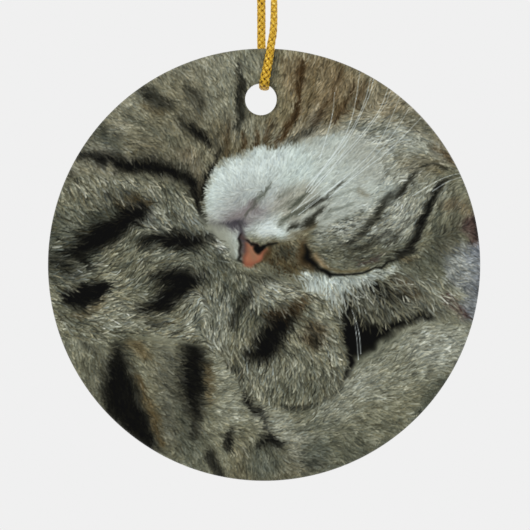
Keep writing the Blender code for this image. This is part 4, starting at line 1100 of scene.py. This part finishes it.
def make_ceramic():
    """The glazed disc, a coat's thickness smaller than the whole at its front and rim."""
    front = FRONT_Y + COAT
    rim = edge_rings(DISC_RADIUS - COAT, RIM_ROUNDING, front, True)
    bore = edge_rings(HOLE_RADIUS + COAT, HOLE_ROUNDING, front, False)
    vertices, faces, starts = [], [], [0]
    for rows, centre, count, outward in (
        (rim, (0.0, DISC_Z), RIM_SEGMENTS, True),
        (bore, (HOLE_X, HOLE_Z), HOLE_SEGMENTS, False),
    ):
        number = np.arange(count)
        for k, (radius, y) in enumerate(rows):
            vertices.append(ring(centre, radius, y, circle(count)))
            if k:
                faces.append(ring_faces(number + starts[-1] - count, number + starts[-1], outward))
            starts.append(starts[-1] + count)
    edge = len(rim)
    faces.append(flat_faces(vertices[0], vertices[edge], 0, starts[edge]))
    back = edge - 1
    faces.append(flat_faces(vertices[back], vertices[-1], starts[back], starts[-2], flip=True))
    return mesh_object("glazed_disc", np.vstack(vertices), faces)


# ---------------------------------------------------------------- the printed coat

def face_grid(flat_radius, hole_flat):
    """A square grid that fills the flat face, its border pulled onto the two circles."""
    half = int(flat_radius / COAT_STEP) + 1
    axis = np.arange(-half, half + 1) * COAT_STEP
    x, z = np.meshgrid(axis, axis)
    hole = (HOLE_X, HOLE_Z - DISC_Z)
    away = np.hypot(x - hole[0], z - hole[1])
    margin = BORDER_SHARE * COAT_STEP
    kept = (np.hypot(x, z) < flat_radius - margin) & (away > hole_flat + margin)
    cell = kept[:-1, :-1] & kept[1:, :-1] & kept[:-1, 1:] & kept[1:, 1:]
    around = np.zeros(x.shape, int)
    for dr, dc in ((0, 0), (0, 1), (1, 0), (1, 1)):
        around[dr:dr + cell.shape[0], dc:dc + cell.shape[1]] += cell
    used = around > 0
    index = np.full(x.shape, -1)
    index[used] = np.arange(used.sum())
    corners = (index[:-1, :-1], index[:-1, 1:], index[1:, 1:], index[1:, :-1])
    quads = np.column_stack([corner[cell] for corner in corners])
    px, pz = x[used], z[used]
    border = around[used] < 4
    at_hole = border & (np.hypot(px - hole[0], pz - hole[1]) < 2 * hole_flat)
    loops = []
    for centre, radius, picked in (((0.0, 0.0), flat_radius, border & ~at_hole),
                                   (hole, hole_flat, at_hole)):
        rows = np.nonzero(picked)[0]
        angle = np.arctan2(pz[rows] - centre[1], px[rows] - centre[0])
        rows, angle = rows[np.argsort(angle)], np.sort(angle)
        px[rows] = centre[0] + radius * np.cos(angle)
        pz[rows] = centre[1] + radius * np.sin(angle)
        loops.append((rows, angle))
    places = np.column_stack([px, np.full(len(px), FRONT_Y), pz + DISC_Z])
    return places, quads, loops


def coat_edge(radius, rounding, outward):
    """Ring sizes (radius, y) from the flat over the rounded edge, then back underneath."""
    over = np.radians(np.linspace(0, COAT_WRAP, ROUNDING_STEPS))[1:]
    under = np.radians(np.linspace(COAT_WRAP, 0, COAT_UNDER_STEPS))
    return (rounded(radius, rounding, over, FRONT_Y, outward)
            + rounded(radius, rounding, under, FRONT_Y, outward, COAT * COAT_UNDER_SHARE))


def make_print(picture):
    """The printed coat: a closed thin shell with the picture's colour on every vertex."""
    places, quads, loops = face_grid(DISC_RADIUS - RIM_ROUNDING, HOLE_RADIUS + HOLE_ROUNDING)
    vertices, faces = [places], [quads]
    start, last = len(places), []
    for (before, angles), centre, radius, rounding, outward in (
        (loops[0], (0.0, DISC_Z), DISC_RADIUS, RIM_ROUNDING, True),
        (loops[1], (HOLE_X, HOLE_Z), HOLE_RADIUS, HOLE_ROUNDING, False),
    ):
        for edge_radius, y in coat_edge(radius, rounding, outward):
            vertices.append(ring(centre, edge_radius, y, angles))
            now = start + np.arange(len(angles))
            faces.append(ring_faces(before, now, outward))
            before = now
            start += len(angles)
        last.append((vertices[-1], now[0]))
    faces.append(flat_faces(last[0][0], last[1][0], last[0][1], last[1][1], flip=True))
    vertices = np.vstack(vertices)
    coat = mesh_object("printed_cat", vertices, faces)
    x = np.clip(vertices[:, 0] / MM, -PAINT_HALF, PAINT_HALF)
    z = np.clip((vertices[:, 2] - DISC_Z) / MM, -PAINT_HALF, PAINT_HALF)
    shown = np.column_stack([look_up(picture[..., k], x, z, PAINT_STEP) for k in range(3)])
    store_colour(coat, "Print", (to_linear(shown) - HAZE).clip(DARKEST_INK))
    return coat


# ---------------------------------------------------------------- the braided cord

def travelled(line):
    """How far along the line each of its places is."""
    return np.concatenate([[0], np.cumsum(np.linalg.norm(np.diff(line, axis=0), axis=1))])


def even_line(points, step):
    """Places about step apart on a smooth curve through the points."""
    fine = smooth_points(points, 24)
    along = travelled(fine)
    target = np.linspace(0, along[-1], max(3, round(along[-1] / step)) + 1)
    return np.column_stack([np.interp(target, along, fine[:, k]) for k in range(fine.shape[1])])


def tangents(line):
    slope = np.gradient(line, axis=0)
    return slope / np.linalg.norm(slope, axis=1)[:, None]


def side_frame(line, first):
    """Two directions across the line at each place, carried along it without twist."""
    ahead = tangents(line)
    across = np.zeros(line.shape)
    side = np.array(first)
    for k, direction in enumerate(ahead):
        side = side - direction * (side @ direction)
        side = side / np.linalg.norm(side)
        across[k] = side
    return across, np.cross(ahead, across)


def sweep(line, across, up, half_across, half_up, sides):
    """A tube's vertices and faces, its section an ellipse that may change along the line."""
    turn = circle(sides)
    wide = np.broadcast_to(half_across, len(line))[:, None, None] * np.cos(turn)[None, :, None]
    high = np.broadcast_to(half_up, len(line))[:, None, None] * np.sin(turn)[None, :, None]
    places = line[:, None] + across[:, None] * wide + up[:, None] * high
    i = np.arange(len(line) - 1)[:, None] * sides
    j = np.arange(sides)[None, :]
    k = (j + 1) % sides
    quads = np.stack([i + j, i + k, i + sides + k, i + sides + j], -1).reshape(-1, 4)
    return places.reshape(-1, 3), quads


def yarn(line, across, up, half_across, half_up, family, angle, travel):
    """One yarn's tube and its painted shade: a painted highlight on its crown and painted shade
    where it dips under another.
    """
    wave = family * np.cos(2 * math.pi * YARNS * travel / PITCH)
    rise = 1 - YARN_THICKNESS / 2 / half_up + wave * YARN_WAVE
    cos, sin = np.cos(angle), np.sin(angle)
    out = across * cos[:, None] + up * sin[:, None]
    middle = (line + across * (half_across * rise * cos)[:, None]
              + up * (half_up * rise * sin)[:, None])
    ahead = tangents(middle)
    side = np.cross(ahead, out)
    side /= np.linalg.norm(side, axis=1)[:, None]
    tube, quads = sweep(middle, side, np.cross(side, ahead), YARN_WIDTH / 2, YARN_THICKNESS / 2,
                        YARN_SIDES)
    crown = 0.5 + 0.5 * np.sin(circle(YARN_SIDES))[None, :]
    return tube, quads, (DIP_SHADE + CROWN_SHADE * crown + WAVE_SHADE * wave[:, None]).ravel()


def tip(place, ahead, across, up, half_across, half_up):
    """A sealed end's tube and shade, rounded off ahead."""
    steps = np.linspace(-TIP_LENGTH, TIP_LENGTH / 2, TIP_STEPS)
    point = np.clip(steps, 0, None) / (TIP_LENGTH / 2)
    size = TIP_SHARE * np.sqrt(np.clip(1 - point ** 2, TIP_POINT, 1))
    tube, quads = sweep(place + steps[:, None] * ahead, np.tile(across, (TIP_STEPS, 1)),
                        np.tile(up, (TIP_STEPS, 1)), half_across * size, half_up * size, TIP_SIDES)
    return tube, quads, np.full(len(tube), TIP_SHADE)


def braid(name, line, half_across, half_up, along=0.0, sealed=False):
    """A length of round braid.

    along is how far the braid has already run where this length starts, so that lengths that
    meet have their yarns in line. sealed says if the far end is cut and sealed.
    """
    across, up = side_frame(line, (1.0, 0.0, 0.0))
    travel = along + travelled(line)
    half_across = np.broadcast_to(half_across, len(line))
    half_up = np.broadcast_to(half_up, len(line))
    core, quads = sweep(line, across, up, half_across * CORE_SHARE, half_up * CORE_SHARE,
                        CORE_SIDES)
    # The core takes the darkest painted shade, which shows as the shadow in the gaps between the
    # yarns
    tubes = [(core, quads, np.zeros(len(core)))]
    for family in (1, -1):
        for number in range(YARNS):
            angle = family * 2 * math.pi * travel / PITCH + 2 * math.pi * number / YARNS
            tubes.append(yarn(line, across, up, half_across, half_up, family, angle, travel))
    if sealed:
        ahead = tangents(line)[-1]
        tubes.append(tip(line[-1], ahead, across[-1], up[-1], half_across[-1], half_up[-1]))
    starts = np.cumsum([0] + [len(places) for places, _, _ in tubes])
    faces = [quads + start for (_, quads, _), start in zip(tubes, starts)]
    made = mesh_object(name, np.vstack([places for places, _, _ in tubes]), faces)
    # Each vertex keeps its painted shade and highlight, which the gold material turns into colour
    shade = np.concatenate([light for _, _, light in tubes])
    store_colour(made, "yarn_painted_shade", np.repeat(shade[:, None], 3, axis=1))
    return made


def in_hole(line):
    """1 where the cord bears on the hole's edge, 0 where it hangs free."""
    return smooth_step(1 - (line[:, 2] - CORD_Z) / BIGHT_RISE)


def loop_line():
    """The loop's middle line, in small steps, lifted to the top of the hole where it passes."""
    line = even_line(LOOP_ROUTE, YARN_STEP)
    line[:, 2] += BIGHT_LIFT * in_hole(line)
    return line


def knot_line(side):
    """One strand's path through the overhand knot, from its foot to its top."""
    t = np.linspace(-KNOT_REACH, KNOT_REACH, KNOT_STEPS)
    ease = smooth_step((np.abs(t) - KNOT_EASE) / (KNOT_REACH - KNOT_EASE))
    inward = 1 - KNOT_GATHER * ease
    x = KNOT_SCALE[0] * (t ** 3 - 3 * t) * inward
    y = KNOT_SCALE[1] * (t ** 4 - 4 * t ** 2 + KNOT_LEAN) * inward
    z = KNOT_SCALE[2] * (t ** 5 - 10 * t)
    middle = np.column_stack([x, y, z + KNOT_MIDDLE_Z])
    across, _ = side_frame(middle, (0.0, 1.0, 0.0))
    return middle + side * KNOT_STRAND_GAP * across


def upper_line(strand, knot_side, tail):
    """A strand from the split up to the hang point, through the knot and out to its tip."""
    knot = knot_line(knot_side)
    keys = np.vstack([strand[::STRAND_STRIDE][:-1], knot[4:-4:3], np.array(tail)[1:]])
    line = even_line(keys, YARN_STEP)
    for _ in range(KNOT_SMOOTHINGS):
        line[1:-1] = (line[:-2] + 2 * line[1:-1] + line[2:]) / 4
    return line


def make_lower(line):
    """The loop's turn in the hole and the lower half of both its strands."""
    radius = CORD_DIAMETER / 2
    squeezed = in_hole(line)
    wide = radius + (BIGHT_HALF_WIDTH - radius) * squeezed
    thick = radius + (BIGHT_HALF_THICKNESS - radius) * squeezed
    front = np.arange(len(line)) < len(line) // 2
    wide = np.where(front, np.interp(line[:, 2], TURNED_Z, TURNED_HALF_WIDTH), wide)
    turned = np.minimum(radius ** 2 / wide, radius * TURNED_MOST_THICK)
    thick = np.where(front & (line[:, 2] > TURNED_Z[2]), turned, thick)
    piece = braid("cord_lower", line, wide, thick)
    return piece


def make_upper(name, line, along):
    """A strand's upper half, its part of the knot, and its cut end."""
    z = line[:, 2]
    inside = np.clip(z / KNOT_FADE, 0, 1) * np.clip((KNOT_TOP_Z - z) / KNOT_FADE, 0, 1)
    half = CORD_DIAMETER / 2 * (1 - (1 - KNOT_SQUEEZE) * inside)
    piece = braid(name, line, half, half, along, sealed=True)
    return piece


def make_cords():
    """The loop in three lengths that meet end to end: the lower, then both uppers."""
    loop = loop_line()
    half = len(loop) // 2
    front_cut = np.argmin(np.abs(loop[:half, 2] - SPLIT_Z))
    back_cut = half + np.argmin(np.abs(loop[half:, 2] - SPLIT_Z))
    lower = loop[front_cut:back_cut + 1]
    front = upper_line(loop[:front_cut + 1][::-1], 1, TAIL_RIGHT_ROUTE)
    back = upper_line(loop[back_cut:], -1, TAIL_LEFT_ROUTE)
    return (make_lower(lower), make_upper("cord_upper_front", front, 0.0),
            make_upper("cord_upper_back", back, travelled(lower)[-1]))


# ---------------------------------------------------------------- materials


def new_material(name, values):
    """A material with its shader's own values set, and what is needed to add nodes to it."""
    made = bpy.data.materials.new(name)
    made.use_nodes = True
    shader = made.node_tree.nodes["Principled BSDF"]
    for socket, value in values.items():
        shader.inputs[socket].default_value = value
    return made, made.node_tree.nodes, made.node_tree.links, shader


def noise(nodes, links, scale, detail):
    place = nodes.new("ShaderNodeTexCoord")
    made = nodes.new("ShaderNodeTexNoise")
    made.inputs["Scale"].default_value = scale
    made.inputs["Detail"].default_value = detail
    links.new(place.outputs["Object"], made.inputs["Vector"])
    return made.outputs["Fac"]


def add_bump(nodes, links, shader, scale, detail, strength, distance):
    bump = nodes.new("ShaderNodeBump")
    bump.inputs["Strength"].default_value = strength
    bump.inputs["Distance"].default_value = distance
    links.new(noise(nodes, links, scale, detail), bump.inputs["Height"])
    links.new(bump.outputs["Normal"], shader.inputs["Normal"])


def add_ramp(nodes, links, shader, value, stops):
    """Colours the shader by a value, through stops of position and linear colour."""
    ramp = nodes.new("ShaderNodeValToRGB")
    made = ramp.color_ramp.elements
    for end in (0, -1):
        made[end].position = stops[end][0]
        made[end].color = (*stops[end][1], 1)
    for position, colour in stops[1:-1]:
        made.new(position).color = (*colour, 1)
    links.new(value, ramp.inputs["Fac"])
    links.new(ramp.outputs["Color"], shader.inputs["Base Color"])


def stored(nodes, name):
    """What a mesh keeps for each vertex under a name."""
    made = nodes.new("ShaderNodeAttribute")
    made.attribute_name = name
    return made.outputs


def print_material():
    """Ink under a clear glossy coat, a little uneven like a dipped glaze."""
    made, nodes, links, shader = new_material("printed_coat_look", PRINT_LOOK)
    links.new(stored(nodes, "Print")["Color"], shader.inputs["Base Color"])
    add_bump(nodes, links, shader, **PRINT_BUMP)
    return made


def glaze_material():
    """White glaze: glossy, faintly uneven, with a few specks of shade in it."""
    made, nodes, links, shader = new_material("white_glaze_look", GLAZE_LOOK)
    add_ramp(nodes, links, shader, noise(nodes, links, **GLAZE_SPECKS), GLAZES)
    add_bump(nodes, links, shader, **GLAZE_BUMP)
    return made


def gold_material():
    """Metallic yarn: a painted highlight where a yarn stands proud, deep olive-brown painted shade
    where it dips under, and noise for painted sparkle.
    """
    made, nodes, links, shader = new_material("gold_braid_look", GOLD_LOOK)
    # Painted sparkle and random specks from noise, added to each vertex's painted shade
    specks_and_sparkle = nodes.new("ShaderNodeMath")
    specks_and_sparkle.operation = "MULTIPLY_ADD"
    specks_and_sparkle.inputs[1].default_value = SPARKLE_CONTRAST
    links.new(noise(nodes, links, **GOLD_SPECKS_AND_SPARKLE), specks_and_sparkle.inputs[0])
    links.new(stored(nodes, "yarn_painted_shade")["Fac"], specks_and_sparkle.inputs[2])
    shade = nodes.new("ShaderNodeMath")
    shade.operation = "SUBTRACT"
    shade.inputs[1].default_value = SPARKLE_MIDDLE
    links.new(specks_and_sparkle.outputs["Value"], shade.inputs[0])
    # The lit and shaded golds turn the painted shade into colour
    lit_and_shaded_golds = [(position, to_linear(colour)) for position, colour in LIT_AND_SHADED_GOLDS]
    add_ramp(nodes, links, shader, shade.outputs["Value"], lit_and_shaded_golds)
    add_bump(nodes, links, shader, **GOLD_BUMP)
    return made


def floor_material():
    """A matt pale grey that fades out towards the floor's rim."""
    made, nodes, links, shader = new_material("floor_look", FLOOR_LOOK)
    place = nodes.new("ShaderNodeTexCoord")
    away = nodes.new("ShaderNodeVectorMath")
    away.operation = "LENGTH"
    links.new(place.outputs["Object"], away.inputs[0])
    fade = nodes.new("ShaderNodeMapRange")
    fade.interpolation_type = "SMOOTHSTEP"
    fade.inputs["From Min"].default_value = FLOOR_FADE[0]
    fade.inputs["From Max"].default_value = FLOOR_FADE[1]
    fade.inputs["To Min"].default_value = 1.0
    fade.inputs["To Max"].default_value = 0.0
    links.new(away.outputs["Value"], fade.inputs["Value"])
    links.new(fade.outputs["Result"], shader.inputs["Alpha"])
    return made


# ---------------------------------------------------------------- camera and studio

def make_camera():
    data = bpy.data.cameras.new("camera")
    data.sensor_width = CAMERA_SENSOR
    data.lens = CAMERA_SENSOR * (CAMERA_DISTANCE + FRONT_Y) / FRAME_WIDTH
    data.clip_start, data.clip_end = CAMERA_CLIP
    made = bpy.data.objects.new("camera", data)
    made.location = (VIEW_X, -CAMERA_DISTANCE, VIEW_Z)
    made.rotation_euler = (math.radians(90), 0, 0)
    bpy.context.scene.collection.objects.link(made)
    bpy.context.scene.camera = made


def area_light(name, place, size, power):
    """A soft round lamp aimed at the disc's middle."""
    data = bpy.data.lights.new(name, "AREA")
    data.shape = "DISK"
    data.size = size
    data.energy = power
    made = bpy.data.objects.new(name, data)
    made.location = place
    aim = Vector((0, 0, DISC_Z)) - Vector(place)
    made.rotation_euler = aim.to_track_quat("-Z", "Y").to_euler()
    bpy.context.scene.collection.objects.link(made)


def make_studio():
    """An even pale room, two soft lamps, and a round pale floor that fades into the room."""
    world = bpy.data.worlds.new("room")
    world.use_nodes = True
    room = world.node_tree.nodes["Background"].inputs["Color"]
    room.default_value = (ROOM_LIGHT, ROOM_LIGHT, ROOM_LIGHT, 1)
    bpy.context.scene.world = world
    bpy.context.scene.view_settings.view_transform = "Standard"
    area_light("key", **KEY_LAMP)
    area_light("fill", **FILL_LAMP)
    angles = circle(FLOOR_SIDES)
    rim = np.column_stack([FLOOR_RADIUS * np.cos(angles), FLOOR_RADIUS * np.sin(angles),
                           np.full(FLOOR_SIDES, FLOOR_Z)])
    floor = mesh_object("floor", rim, [np.arange(FLOOR_SIDES)[None, :]], smooth=False)
    floor.data.materials.append(floor_material())


def dress(piece, look, slot, *nodes):
    """Gives a piece its material and hides the parts it replaces."""
    piece.data.materials.append(look)
    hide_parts(*nodes)


def main():
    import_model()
    make_camera()
    make_studio()
    gold = gold_material()
    lower, front, back = make_cords()
    dress(lower, gold, "gold_braid", "cord_bight")
    dress(front, gold, "gold_braid", "strand_front", "tail_right", "cord_knot")
    dress(back, gold, "gold_braid", "strand_back", "tail_left")
    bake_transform(lower)
    for upper in (front, back):
        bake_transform(upper)
    ceramic = make_ceramic()
    dress(ceramic, glaze_material(), "glaze", "ceramic_disc")
    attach(ceramic, "disc")
    coat = make_print(paint_cat())
    dress(coat, print_material(), "printed_coat", "front_print")
    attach(coat, "disc")


main()
